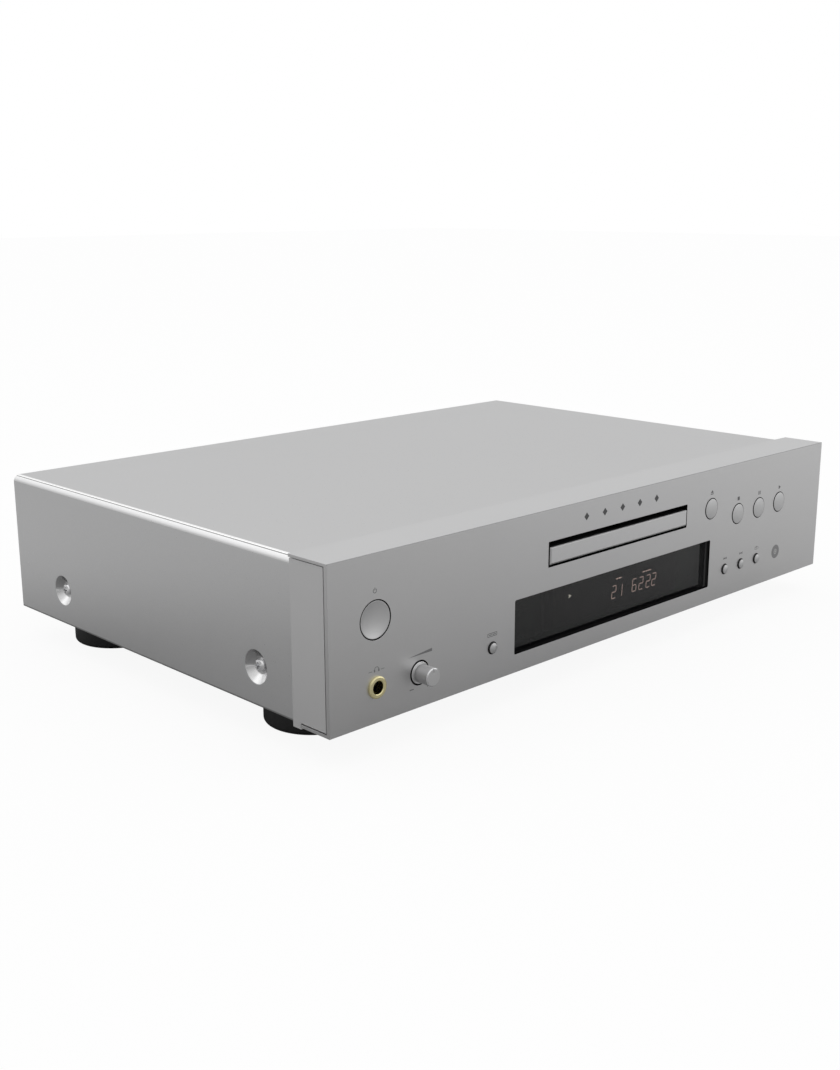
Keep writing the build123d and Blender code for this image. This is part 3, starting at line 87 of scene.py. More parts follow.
# ---------------------------------------------------------------------------- node building
class Graph:
    """A node tree with short calls for its nodes. Masks are 1 inside and 0 outside."""

    def __init__(self, tree, coordinates):
        self.tree = tree
        tree.nodes.clear()
        self.where = self.add("ShaderNodeTexCoord").outputs[coordinates]

    def add(self, kind, inputs=None, **props):
        node = self.tree.nodes.new(kind)
        for key, value in props.items():
            setattr(node, key, value)
        for key, value in (inputs or {}).items():
            self.put(node.inputs[key], value)
        return node

    def put(self, socket, value):
        if isinstance(value, bpy.types.NodeSocket):
            self.tree.links.new(value, socket)
        else:
            socket.default_value = (*value, 1) if socket.type == "RGBA" else value

    # numbers and vectors
    def math(self, operation, a, b=0.0, clamp=False):
        inputs = {0: a, 1: b, 2: 0.0}
        return self.add("ShaderNodeMath", inputs, operation=operation, use_clamp=clamp).outputs[0]

    def plus(self, a, b):
        return self.math("ADD", a, b)

    def times(self, a, b):
        return self.math("MULTIPLY", a, b)

    def vec(self, operation, a, b=(0, 0, 0)):
        node = self.add("ShaderNodeVectorMath", {0: a, 1: b}, operation=operation)
        return node.outputs["Value" if operation in ("LENGTH", "DOT_PRODUCT") else "Vector"]

    def xyz(self, vector=None):
        source = self.where if vector is None else vector
        return tuple(self.add("ShaderNodeSeparateXYZ", {0: source}).outputs)

    def mix(self, factor, a, b):
        """Colour a where the factor is 0, colour b where it is 1."""
        return self.add("ShaderNodeMix", {0: factor, 6: a, 7: b}, data_type="RGBA").outputs[2]

    def blend(self, factor, a, b):
        """The same for numbers."""
        return self.add("ShaderNodeMix", {0: factor, 2: a, 3: b}, data_type="FLOAT").outputs[0]

    def layer(self, mask, under, over):
        """Lays one (colour, roughness, metallic) over another inside a mask."""
        return (self.mix(mask, under[0], over[0]), self.blend(mask, under[1], over[1]),
                self.blend(mask, under[2], over[2]))

    def remap(self, value, source, to=(0.0, 1.0), smooth=False):
        inputs = {"Value": value, "From Min": source[0], "From Max": source[1],
                  "To Min": to[0], "To Max": to[1]}
        kind = "SMOOTHSTEP" if smooth else "LINEAR"
        return self.add("ShaderNodeMapRange", inputs, interpolation_type=kind).outputs[0]

    def about(self, socket, amount):
        """Noise round 0.5 as a change round 0."""
        return self.times(self.math("SUBTRACT", socket, 0.5), amount)

    def vary(self, base, *changes):
        """A number with one or two changes added."""
        total = changes[0]
        for change in changes[1:]:
            total = self.plus(total, change)
        return self.plus(base, total)

    def tone(self, color, *changes):
        """A colour made lighter or darker by changes round 0."""
        factor = 1.0
        for change in changes:
            factor = self.plus(factor, change)
        out = self.vec("SCALE", color)
        self.put(out.node.inputs["Scale"], factor)
        return out

    # patterns
    def noise(self, size, detail=2.0, rough=0.5, stretch=(1, 1, 1), shift=0.0):
        """Features of about this size, longer along an axis whose stretch is above 1."""
        vector = self.vec("MULTIPLY", self.where, tuple(1 / axis for axis in stretch))
        if shift:
            vector = self.vec("ADD", vector, (shift, shift * 0.7, shift * 1.3))
        return self.add("ShaderNodeTexNoise", {
            "Vector": vector, "Scale": 1000.0 / size, "Detail": detail, "Roughness": rough,
        }).outputs[0]

    def gritty(self, size, **more):
        """Noise with more fine detail in it."""
        return self.noise(size, detail=3, rough=0.6, **more)

    def cells(self, size, output="Distance"):
        inputs = {"Vector": self.where, "Scale": 1000.0 / size}
        return self.add("ShaderNodeTexVoronoi", inputs).outputs[output]

    def flakes(self, size, weights):
        """Cells, each of one random value, weighed from its random colour."""
        return self.vec("DOT_PRODUCT", self.cells(size, output="Color"), weights)

    def wave(self, length, pitch):
        """A sine from -1 to 1 along a length in metres."""
        return self.math("SINE", self.times(length, 2 * math.pi * 1000 / pitch))

    # masks
    def box(self, x, depth, z):
        """Inside a box, given as three ranges."""
        low, high = (place(x[i], depth[i], z[i]) for i in (0, 1))
        offset = self.vec("SUBTRACT", self.where, tuple((low + high) / 2))
        beyond = self.vec("SUBTRACT", self.vec("ABSOLUTE", offset), tuple((high - low) / 2))
        return self.math("LESS_THAN", self.any(*self.xyz(beyond)), 0.0)

    def radius(self, axis, point):
        """Distance in metres from the line through a point along an axis."""
        keep = {"X": (0, 1, 1), "Y": (1, 0, 1), "Z": (1, 1, 0)}[axis]
        offset = self.vec("SUBTRACT", self.where, tuple(point))
        return self.vec("LENGTH", self.vec("MULTIPLY", offset, keep))

    def inside(self, length, limit):
        """Where a length in metres is below a limit in millimetres."""
        return self.math("LESS_THAN", length, limit / 1000)

    def outside(self, length, limit):
        return self.math("GREATER_THAN", length, limit / 1000)

    def band(self, length, low, high):
        return self.all(self.outside(length, low), self.inside(length, high))

    def within(self, axis, x, depth, z, radius):
        return self.inside(self.radius(axis, place(x, depth, z)), radius)

    def above(self, axis, level):
        """Where x, depth (axis Y) or z is above a level."""
        metres = FACE + level / 1000 if axis == "Y" else level / 1000
        return self.math("GREATER_THAN", self.xyz()["XYZ".index(axis)], metres)

    def any(self, *masks):
        out = masks[0]
        for mask in masks[1:]:
            out = self.math("MAXIMUM", out, mask)
        return out

    def all(self, *masks):
        out = masks[0]
        for mask in masks[1:]:
            out = self.times(out, mask)
        return out

    def no(self, mask):
        return self.math("SUBTRACT", 1.0, mask)


class Material(Graph):
    """One material, with its patterns laid out in the row frame."""

    def __init__(self, name):
        self.data = bpy.data.materials.new(name)
        self.data.use_nodes = True
        self.normal = None
        super().__init__(self.data.node_tree, "Object")

    def edge(self, radius):
        """Rounds sharp edges in the shading; returns 0 to 1 towards them."""
        self.normal = self.add("ShaderNodeBevel", {"Radius": radius / 1000}, samples=4).outputs[0]
        plain = self.add("ShaderNodeNewGeometry").outputs["Normal"]
        near = self.vec("DOT_PRODUCT", self.normal, plain)
        return self.remap(near, (0.999, 0.9))

    def finish(self, shader):
        self.add("ShaderNodeOutputMaterial", {0: shader.outputs[0]})
        return self.data

    def done(self, color, rough, height, depth, metal=0.0, strength=0.5, **more):
        """The surface: depth is what the height socket's 0 to 1 stands for."""
        bump = {"Height": height, "Distance": depth / 1000, "Strength": strength}
        if self.normal is not None:
            bump["Normal"] = self.normal
        inputs = {"Base Color": color, "Roughness": rough, "Metallic": metal,
                  "Normal": self.add("ShaderNodeBump", bump).outputs[0]}
        inputs.update({key.replace("_", " "): value for key, value in more.items()})
        return self.finish(self.add("ShaderNodeBsdfPrincipled", inputs))


def dress(name, material):
    """Puts a material on every slot of a CAD node, on the object side."""
    for slot in NODES[name].material_slots:
        slot.link = "OBJECT"
        slot.material = material


# ---------------------------------------------------------------------------- casing metals
def blasted(name, base, rough, metal, wear, bevel, dark, under=(), over=()):
    """Bead-blasted anodised aluminium: satin grain, faint clouding and edges lifted by wear.

    dark masks the parts painted black, with painted shade among them; under and over are (mask,
    colour) laid below and above them.
    """
    mat = Material(name)
    cloud = mat.gritty(55)
    grain = mat.noise(0.22, rough=0.6)
    pits = mat.cells(0.45)
    worn = mat.edge(bevel)
    cool = (base, base, base * 1.012)
    warm = (base * 1.008, base * 1.003, base)
    tint = mat.mix(mat.noise(90, shift=3.1), cool, warm)
    color = mat.tone(tint, mat.about(cloud, 0.030), mat.about(grain, 0.085),
                     mat.times(worn, wear))
    rough = mat.vary(rough, mat.about(cloud, 0.06), mat.about(grain, 0.10))
    rough = mat.math("SUBTRACT", rough, mat.times(worn, 0.08))
    for mask, paint in under:
        color = mat.mix(mask(mat), color, paint)
    # near black inside the dark mask: black cut edges and painted shade
    black = mat_mask = dark(mat)
    color, rough, metal = mat.layer(
        mat_mask, (color, rough, metal), ((0.004, 0.004, 0.0045), 0.75, 0.0))
    for mask, paint in over:
        color = mat.mix(mask(mat), color, paint)
    height = mat.plus(mat.times(grain, 0.6), mat.times(pits, 0.4))
    return mat.done(color, rough, metal=metal, height=height, depth=0.006, strength=0.55,
                    Specular_IOR_Level=mat.blend(black, 0.5, 0.06))


def cut_walls_black_and_shade(mat):
    """Cut walls of the window and tray slot, painted black, and of the round holes, painted shade
    that deepens the gaps round the buttons and knob.
    """
    walls = [mat.box(x, (0.12, PANEL_BACK), z) for x, z in (WINDOW, SLOT)]
    behind = mat.all(mat.above("Y", 0.04), mat.no(mat.above("Y", PANEL_BACK)))
    rounds = mat.any(*[mat.within("Y", x, 0, z, radius + HOLE_MARGIN)
                       for x, z, radius in HOLES])
    return mat.any(mat.all(rounds, behind), *walls)


PANEL_TOP, PANEL_RIM = 100.52, 0.38  # height of the top face, depth of its front edge


# painted shade: the front top edge is darkened over its highlight
def front_edge_painted_shade(mat):
    return mat.all(mat.above("Z", PANEL_TOP), mat.no(mat.above("Y", PANEL_RIM)))


# painted light: the top face is coloured paler than the front
def top_face_painted_light(mat):
    return mat.all(mat.above("Z", PANEL_TOP), mat.above("Y", PANEL_RIM))


def window_wall_painted_light(mat):
    """The window's right end wall, painted lighter as painted light: strongest near the front,
    fading towards the back.
    """
    y = mat.xyz()[1]
    wall = mat.box((89.4, 90.4), (1.0, PANEL_BACK), WINDOW[1])
    fade = mat.remap(y, (FACE + 0.0010, FACE + 0.0036), to=(1.0, 0.25), smooth=True)
    return mat.times(wall, fade)


dress("front_panel", blasted(
    "anodised_panel_front", base=0.57, rough=0.42, metal=1.0, wear=0.0, bevel=0.12,
    dark=cut_walls_black_and_shade,
    under=((top_face_painted_light, (0.625, 0.625, 0.628)), (front_edge_painted_shade, (0.36, 0.36, 0.363))),
    over=((window_wall_painted_light, (0.025, 0.025, 0.0255)),),
))


def groove_painted_shade(mat):
    """Painted shade: dark upright bands in the grooves near both sides of the player."""
    side = mat.math("ABSOLUTE", mat.xyz()[0])
    return mat.all(mat.inside(side, 214.8), mat.outside(side, 210.0), mat.above("Z", 19.4))


for side in ("left", "right"):
    dress("end_cap_" + side, blasted(
        "cap_silver_" + side, base=0.62, rough=0.52, metal=0.70, wear=0.06, bevel=0.25,
        dark=groove_painted_shade))


def painted_cover():
    """Silver powder paint on steel sheet: flake sparkle and very slight orange peel."""
    mat = Material("cover_silver_paint")
    sparkle = mat.flakes(0.28, (0.33, 0.33, 0.33))
    peel = mat.noise(1.7, rough=0.45)
    cloud = mat.noise(120, shift=1.7)
    worn = mat.edge(0.25)
    color = mat.tone((0.60, 0.60, 0.603), mat.about(sparkle, 0.10), mat.about(cloud, 0.02),
                     mat.times(worn, 0.04))
    rough = mat.vary(0.33, mat.about(sparkle, 0.12), mat.about(peel, 0.05))
    height = mat.plus(mat.times(peel, 0.75), mat.times(sparkle, 0.10))

    # painted highlight along the long bends, with one fine line of painted shade drawn along them
    line_low, line_high, skin = 213.84, 214.36, 216.22  # distances from the middle
    x, _, z = mat.xyz()
    side = mat.math("ABSOLUTE", x)
    high = mat.above("Z", 98.2)
    bright = mat.all(mat.band(side, 212.25, skin), mat.above("Z", 95.9))
    line = mat.all(mat.band(side, line_low, line_high), high)
    painted_highlight_above_line = mat.all(mat.inside(side, line_low), bright)
    color = mat.mix(mat.times(bright, 0.45), color, (0.93, 0.93, 0.93))
    color = mat.mix(painted_highlight_above_line, color, (0.98, 0.98, 0.98))
    color = mat.mix(mat.times(line, 0.9), color, (0.16, 0.16, 0.16))
    # darker towards the lower edge; heights in metres
    edge = mat.remap(z, (0.0179, 0.0189), to=(0.72, 0.0), smooth=True)
    color = mat.mix(edge, color, (0.10, 0.10, 0.10))

    # pressed dishes round the side screws are bare and polished, with painted shade above the split
    # and a painted highlight below it
    dish_z, dish_radius, split = 37.7, 8.72, 36.6
    dish = mat.any(*[mat.within("X", 0, depth, dish_z, dish_radius) for depth in (56.5, 240.0)])
    dish = mat.all(dish, mat.inside(side, 216.18), mat.outside(side, 210.0))
    draw = mat.noise(1.6, detail=4, rough=0.7, shift=6.0)
    color = mat.mix(dish, color, mat.tone((0.66, 0.66, 0.665), mat.about(draw, 0.35)))
    # painted shade on the upper half, painted highlight on the lower half
    upper = mat.all(dish, mat.above("Z", split))
    color = mat.mix(mat.times(upper, 0.62), color, (0.30, 0.30, 0.30))
    lower = mat.all(dish, mat.no(mat.above("Z", split)))
    color = mat.mix(mat.times(lower, 0.5), color, (0.86, 0.86, 0.86))
    rough = mat.blend(dish, rough, mat.vary(0.17, mat.about(draw, 0.18)))
    metal = mat.blend(dish, 0.85, 1.0)
    height = mat.blend(dish, height, mat.times(draw, 6.0))
    return mat.done(color, rough, metal=metal, height=height, depth=0.010, strength=0.35,
                    Coat_Weight=0.10, Coat_Roughness=0.18)


dress("top_cover", painted_cover())


def galvanised(name, shift=0.0):
    """Zinc-coated sheet: two sizes of spangle and rolling lines along the depth."""
    mat = Material(name)
    spangle = mat.flakes(7.5, (0.5, 0.3, 0.2))
    small = mat.flakes(2.6, (0.2, 0.3, 0.5))
    roll = mat.noise(0.7, rough=0.6, stretch=(1, 30, 1), shift=shift)
    worn = mat.edge(0.3)
    color = mat.tone((0.52, 0.53, 0.545), mat.about(spangle, 0.22), mat.about(small, 0.10),
                     mat.about(roll, 0.05), mat.times(worn, 0.10))
    rough = mat.vary(0.36, mat.about(spangle, 0.20), mat.about(roll, 0.08))
    height = mat.plus(mat.times(spangle, 0.4), roll)
    return mat.done(color, rough, metal=0.95, height=height, depth=0.006)


dress("bottom_chassis", galvanised("galvanised_chassis"))
dress("clamp_bridge", galvanised("galvanised_bridge", shift=2.0))


def rear_paint():
    """Dark grey textured paint on steel."""
    mat = Material("rear_grey_paint")
    wrinkle = mat.cells(0.55)
    cloud = mat.gritty(40)
    worn = mat.edge(0.25)
    color = mat.tone((0.075, 0.077, 0.080), mat.about(wrinkle, 0.35), mat.about(cloud, 0.10))
    color = mat.mix(mat.times(worn, 0.10), color, (0.45, 0.45, 0.46))
    rough = mat.vary(0.52, mat.about(wrinkle, 0.20))
    return mat.done(color, rough, metal=0.15, height=wrinkle, depth=0.05, strength=0.6)


dress("rear_panel", rear_paint())


# ---------------------------------------------------------------------------- turned metals
def turned(name, node, base, rough, polished=None, dark=None):
    """Turned and anodised metal: fine tool marks round the piece's own front-to-back axis."""
    mat = Material(name)
    marks = mat.wave(mat.radius("Y", centre(node)), pitch=0.16)
    grain = mat.noise(0.20, rough=0.6)
    cloud = mat.noise(9)
    worn = mat.edge(0.18)
    color = mat.tone((base, base, base * 1.005), mat.times(marks, 0.012),
                     mat.about(grain, 0.07), mat.about(cloud, 0.03), mat.times(worn, 0.10))
    rough = mat.vary(rough, mat.times(marks, 0.02), mat.about(grain, 0.10))
    metal = 1.0
    if polished is not None:
        mask = polished(mat)
        color = mat.mix(mask, color, (0.72, 0.72, 0.73))
        rough = mat.blend(mask, rough, 0.22)
    # the dark mask is painted shade on the side wall inside the panel's hole
    if dark is not None:
        mask = dark(mat)
        color = mat.mix(mask, color, (0.006, 0.006, 0.0065))
        rough = mat.blend(mask, rough, 0.6)
        metal = mat.no(mask)
    height = mat.plus(mat.times(marks, 0.25), grain)
    return mat.done(color, rough, metal=metal, height=height, depth=0.003)


def axis_radius(mat, node):
    middle = centre(node)
    return mat.radius("Y", (middle.x, FACE, middle.z))


def shaded_skirt(node, radius, depth):
    """Mask of painted shade on a round piece's side wall in its hole: outside a radius and behind a
    depth.
    """
    return lambda mat: mat.all(mat.outside(axis_radius(mat, node), radius),
                               mat.above("Y", depth))


# base brightness, roughness, radius and depth of the side wall's painted shade
POWER_BUTTON = (0.60, 0.33, 9.28, 0.12)
LARGE_BUTTON = (0.53, 0.40, 6.12, -0.26)
SMALL_BUTTON = (0.54, 0.38, 2.72, -0.86)
LARGE_WIDTH = 0.012  # metres

for node in [name for name in NODES if name.endswith("_button")]:
    low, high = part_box(node)
    if node == "power_button":
        style = POWER_BUTTON
    else:
        style = LARGE_BUTTON if high.x - low.x > LARGE_WIDTH else SMALL_BUTTON
    base, rough, radius, depth = style
    dress(node, turned("button_silver_" + node, node, base, rough,
                       dark=shaded_skirt(node, radius, depth)))


def knob_chamfer(mat):
    """The bright chamfer round the knob's face."""
    ring = mat.band(axis_radius(mat, "level_knob"), 4.22, 4.69)
    return mat.all(ring, mat.no(mat.above("Y", -9.32)))


# the dark part is painted shade on the collar inside the panel's hole
dress("level_knob", turned("knob_silver_turned", "level_knob", base=0.66, rough=0.33,
                           polished=knob_chamfer, dark=shaded_skirt("level_knob", 5.45, -0.22)))
dress("level_pot_shaft", turned("pot_shaft_steel", "level_pot_shaft", base=0.50, rough=0.30))


def door_metal():
    """Aluminium bar: brushed along its length under the anodising, black behind the face."""
    mat = Material("tray_door_silver")
    brush = mat.gritty(0.20, stretch=(60, 1, 1))
    grain = mat.noise(0.22, rough=0.6)
    worn = mat.edge(0.3)
    color = mat.tone((0.60, 0.60, 0.604), mat.about(brush, 0.05), mat.about(grain, 0.07),
                     mat.times(worn, 0.04))
    rough = mat.vary(0.36, mat.about(brush, 0.08), mat.about(grain, 0.08))
    back = mat.above("Y", 0.06)
    color = mat.mix(back, color, (0.02, 0.02, 0.021))
    return mat.done(color, rough, metal=mat.no(back), height=mat.plus(brush, grain),
                    depth=0.004)


dress("tray_door", door_metal())


def plated(name, color, rough, stain, size, shift):
    """Plated or polished metal with stains of a given strength and size."""
    mat = Material(name)
    cloud = mat.gritty(size, shift=shift)
    fine = mat.noise(0.35, rough=0.6)
    worn = mat.edge(0.12)
    tint = mat.tone(color, mat.about(cloud, stain), mat.about(fine, 0.05),
                    mat.times(worn, 0.06))
    rough = mat.vary(rough, mat.about(cloud, 0.10), mat.about(fine, 0.06))
    return mat.done(tint, rough, metal=1.0, height=fine, depth=0.003, strength=0.4)


# node, material, colour, roughness, stain strength, stain size, pattern shift
PLATED = [
    ("cover_screws", "bright_screw_nickel", (0.80, 0.80, 0.81), 0.16, 0.10, 6.0, 0.0),
    ("foot_screws", "zinc_screw_feet", (0.60, 0.61, 0.62), 0.30, 0.2, 3.0, 1.0),
    ("chassis_screws", "zinc_screw_chassis", (0.42, 0.42, 0.43), 0.32, 0.2, 3.0, 2.0),
    ("board_screws", "zinc_screw_boards", (0.62, 0.62, 0.60), 0.28, 0.2, 3.0, 3.0),
    ("headphone_ring", "gold_plate_ring", (0.84, 0.76, 0.44), 0.22, 0.08, 2.5, 4.0),
    ("guide_rods", "rod_chrome_ground", (0.78, 0.78, 0.79), 0.10, 0.06, 4.0, 5.0),
]
for node, *look in PLATED:
    dress(node, plated(*look))


def motor_can(name, shift):
    """Drawn steel can with lines round it."""
    mat = Material(name)
    lines = mat.noise(0.35, rough=0.6, stretch=(30, 30, 1), shift=shift)
    cloud = mat.noise(7, shift=shift)
    worn = mat.edge(0.3)
    color = mat.tone((0.50, 0.505, 0.51), mat.about(lines, 0.12), mat.about(cloud, 0.06),
                     mat.times(worn, 0.10))
    rough = mat.vary(0.30, mat.about(lines, 0.16))
    return mat.done(color, rough, metal=1.0, height=lines, depth=0.006)


for i, node in enumerate(("loading_motor", "spindle_motor", "sled_motor")):
    dress(node, motor_can("motor_steel_" + node, shift=i * 1.3))


# ---------------------------------------------------------------------------- plastics, rubber
def moulded(name, color, rough, grain=0.45, depth=0.012, cloudy=0.12, shift=0.0, bevel=0.25,
            patch=None, **more):
    """Moulded plastic: fine grain, slight flow clouding; patch is (mask, colour)."""
    mat = Material(name)
    fine = mat.gritty(grain, shift=shift)
    cloud = mat.noise(18, shift=shift)
    worn = mat.edge(bevel)
    tint = mat.tone(color, mat.about(fine, 0.25), mat.about(cloud, cloudy),
                    mat.times(worn, 0.30))
    if patch is not None:
        tint = mat.mix(patch[0](mat), tint, patch[1])
    rough = mat.vary(rough, mat.about(fine, 0.14), mat.about(cloud, 0.08))
    return mat.done(tint, rough, height=fine, depth=depth, strength=0.6, **more)


def frame_end_painted_light(mat):
    """The right end of the subframe's window opening, painted lighter as painted light."""
    return mat.box((89.0, 90.6), (2.32, 4.0), (25.4, 57.7))


for i, corner in enumerate(("front_left", "front_right", "rear_left", "rear_right")):
    node = "foot_" + corner
    dress(node, moulded("foot_black_" + node, (0.011, 0.011, 0.0115), rough=0.50, grain=0.40,
                        depth=0.02, cloudy=0.2, shift=i * 0.7, bevel=0.4))
dress("front_subframe", moulded(
    "black_moulding_subframe", (0.0025, 0.0025, 0.0027), rough=0.62, grain=0.5,
    patch=(frame_end_painted_light, (0.10, 0.10, 0.102)), Specular_IOR_Level=0.12))

# node, material, colour, roughness, grain size, grain depth, clouding, pattern shift
MOULDED = [
    ("tact_switches", "switch_grey_caps", (0.10, 0.10, 0.105), 0.45, 0.45, 0.012, 0.12, 0.0),
    ("level_pot", "switch_grey_pot", (0.12, 0.12, 0.13), 0.40, 0.45, 0.012, 0.12, 2.0),
    ("headphone_jack", "socket_black_jack", (0.012, 0.012, 0.012), 0.50, 0.45, 0.012, 0.12, 0.0),
    ("loader_frame", "loader_grey_frame", (0.045, 0.046, 0.050), 0.50, 0.6, 0.02, 0.15, 1.0),
    ("disc_tray", "tray_black_plate", (0.022, 0.022, 0.024), 0.46, 0.5, 0.012, 0.12, 2.0),
    ("dampers", "belt_rubber_dampers", (0.014, 0.014, 0.014), 0.72, 0.8, 0.02, 0.2, 3.0),
    ("drive_belt", "belt_rubber_loop", (0.012, 0.012, 0.012), 0.66, 0.4, 0.01, 0.2, 4.0),
]
for node, *look in MOULDED:
    dress(node, moulded(*look))


def acetal(name, shift):
    """Natural acetal: waxy, slightly translucent, with patches of grease."""
    mat = Material(name)
    grease = mat.remap(mat.gritty(4.0, shift=shift), (0.50, 0.66), to=(0.0, 0.5), smooth=True)
    fine = mat.noise(0.5, shift=shift)
    worn = mat.edge(0.12)
    clean, greasy = (0.74, 0.72, 0.66), (0.70, 0.64, 0.46)
    color = mat.tone(mat.mix(grease, clean, greasy), mat.about(fine, 0.06),
                     mat.times(worn, 0.05))
    rough = mat.blend(grease, mat.vary(0.38, mat.about(fine, 0.1)), 0.16)
    return mat.done(color, rough, height=fine, depth=0.006, strength=0.4,
                    Subsurface_Weight=0.15, Subsurface_Radius=(0.002, 0.0015, 0.001))


for i, node in enumerate(("motor_pulley", "pulley_gear", "drive_gear", "sled_gear",
                          "sled_pinion")):
    dress(node, acetal("gear_white_" + node, shift=i * 1.1))


# ---------------------------------------------------------------------------- disc drive
def clamp_puck():
    """White plastic with a round steel plate on top."""
    mat = Material("puck_white_clamp")
    fine = mat.gritty(0.5)
    worn = mat.edge(0.2)
    steel = mat.all(mat.within("Z", 0, DISC_DEPTH, 0, 9.2), mat.above("Z", 85.9))
    rings = mat.wave(mat.radius("Z", place(0, DISC_DEPTH, 0)), pitch=0.5)
    white = mat.tone((0.60, 0.60, 0.58), mat.about(fine, 0.08), mat.times(worn, 0.08))
    color = mat.mix(steel, white, mat.tone((0.55, 0.55, 0.56), mat.times(rings, 0.03)))
    rough = mat.blend(steel, mat.vary(0.46, mat.about(fine, 0.12)), 0.28)
    return mat.done(color, rough, metal=steel, height=fine, depth=0.010)


dress("clamp_puck", clamp_puck())


def black_tone(mat, color, fine, worn):
    """Black plastic: grain in the colour, paler edges."""
    return mat.tone(color, mat.about(fine, 0.2), mat.times(worn, 0.3))


def turntable():
    """Black hub with a grey rubber ring that grips the disc."""
    mat = Material("pickup_black_turntable")
    fine = mat.gritty(0.4)
    worn = mat.edge(0.2)
    radius = mat.radius("Z", place(0, DISC_DEPTH, 0))
    ring = mat.all(mat.band(radius, 10.8, 14.7), mat.above("Z", 77.7))
    color = mat.mix(ring, black_tone(mat, (0.020, 0.020, 0.021), fine, worn),
                    mat.tone((0.075, 0.075, 0.078), mat.about(fine, 0.15)))
    rough = mat.blend(ring, 0.38, 0.78)
    return mat.done(color, rough, height=fine, depth=0.012, strength=0.6)


dress("turntable", turntable())


def pickup():
    """Die-cast sled with a black moulded cover round the lens."""
    mat = Material("pickup_black_sled")
    fine = mat.gritty(0.45)
    flow = mat.gritty(6)
    worn = mat.edge(0.25)
    cast = mat.no(mat.any(mat.above("Z", 71.45),
                          mat.box((18.0, 30.0), (90, 145), (64.9, 68.1))))
    metal_tone = mat.tone((0.26, 0.26, 0.27), mat.about(flow, 0.2), mat.about(fine, 0.12),
                          mat.times(worn, 0.2))
    color = mat.mix(cast, black_tone(mat, (0.016, 0.016, 0.017), fine, worn), metal_tone)
    rough = mat.blend(cast, 0.45, mat.vary(0.42, mat.about(flow, 0.2)))
    return mat.done(color, rough, metal=mat.times(cast, 0.9), height=fine, depth=0.02,
                    strength=0.6)


dress("optical_pickup", pickup())


def lens():
    """Coated lens in its black holder."""
    mat = Material("lens_glass_coated")
    radius = mat.radius("Z", place(0, 106, 0))
    glass = mat.all(mat.inside(radius, 2.45), mat.above("Z", 74.9))
    facing = mat.add("ShaderNodeLayerWeight", {"Blend": 0.35}).outputs["Facing"]
    film = mat.mix(facing, (0.035, 0.05, 0.16), (0.16, 0.05, 0.17))
    fine = mat.noise(0.3)
    color = mat.mix(glass, mat.tone((0.016, 0.016, 0.017), mat.about(fine, 0.2)), film)
    return mat.done(color, mat.blend(glass, 0.5, 0.04), height=fine, depth=0.002,
                    strength=mat.times(mat.no(glass), 0.5),
                    Coat_Weight=glass, Coat_Roughness=0.02)


dress("objective_lens", lens())


def traverse():
    """Grey moulded base of the sled."""
    mat = Material("loader_grey_traverse")
    fine = mat.gritty(0.6)
    worn = mat.edge(0.3)
    color = mat.tone((0.060, 0.061, 0.066), mat.about(fine, 0.2),
                     mat.about(mat.noise(14), 0.15), mat.times(worn, 0.3))
    rough = mat.vary(0.48, mat.about(fine, 0.14))
    return mat.done(color, rough, height=fine, depth=0.02, strength=0.6)


dress("traverse_base", traverse())


# ---------------------------------------------------------------------------- window, display
def window():
    """Smoked acrylic: almost black, polished, with faint wipe marks in the gloss."""
    mat = Material("smoked_window_acrylic")
    wipe = mat.noise(9, detail=4, rough=0.65, stretch=(6, 1, 1))
    dust = mat.remap(mat.noise(0.9, shift=2), (0.70, 0.80))
    color = mat.tone((0.0035, 0.0036, 0.0040), mat.about(wipe, 0.6))
    # the right end is painted a little paler, a painted reflection; x in metres
    paler = mat.remap(mat.xyz()[0], (0.0815, 0.0860), smooth=True)
    color = mat.mix(paler, color, (0.034, 0.034, 0.035))
    rough = mat.vary(0.05, mat.times(wipe, 0.06), mat.times(dust, 0.10))
    return mat.done(color, rough, height=wipe, depth=0.001, strength=0.25,
                    Alpha=0.66, IOR=1.62)


dress("display_window", window())


def display_glass():
    """Vacuum display: dark glass over a fine grid, grey carrier behind."""
    mat = Material("display_glass_envelope")
    x, _, z = mat.xyz()
    lines = mat.any(mat.wave(x, pitch=0.5), mat.wave(z, pitch=0.5))
    grid = mat.math("GREATER_THAN", lines, 0.90)
    grid_area = mat.box((-45.5, 62.5), (8.9, 9.3), (30.0, 52.0))
    glass = mat.tone((0.010, 0.011, 0.011), mat.about(mat.noise(12), 0.3))
    color = mat.mix(mat.times(grid, grid_area), glass, (0.045, 0.046, 0.046))
    carrier = mat.above("Y", 13.62)
    color = mat.mix(carrier, color, (0.16, 0.16, 0.17))
    return mat.done(color, mat.blend(carrier, 0.12, 0.5), height=mat.noise(3), depth=0.004,
                    strength=0.3)


dress("display_module", display_glass())

# ---------------------------------------------------------------------------- electronics
BOARD_THICK = 1.6


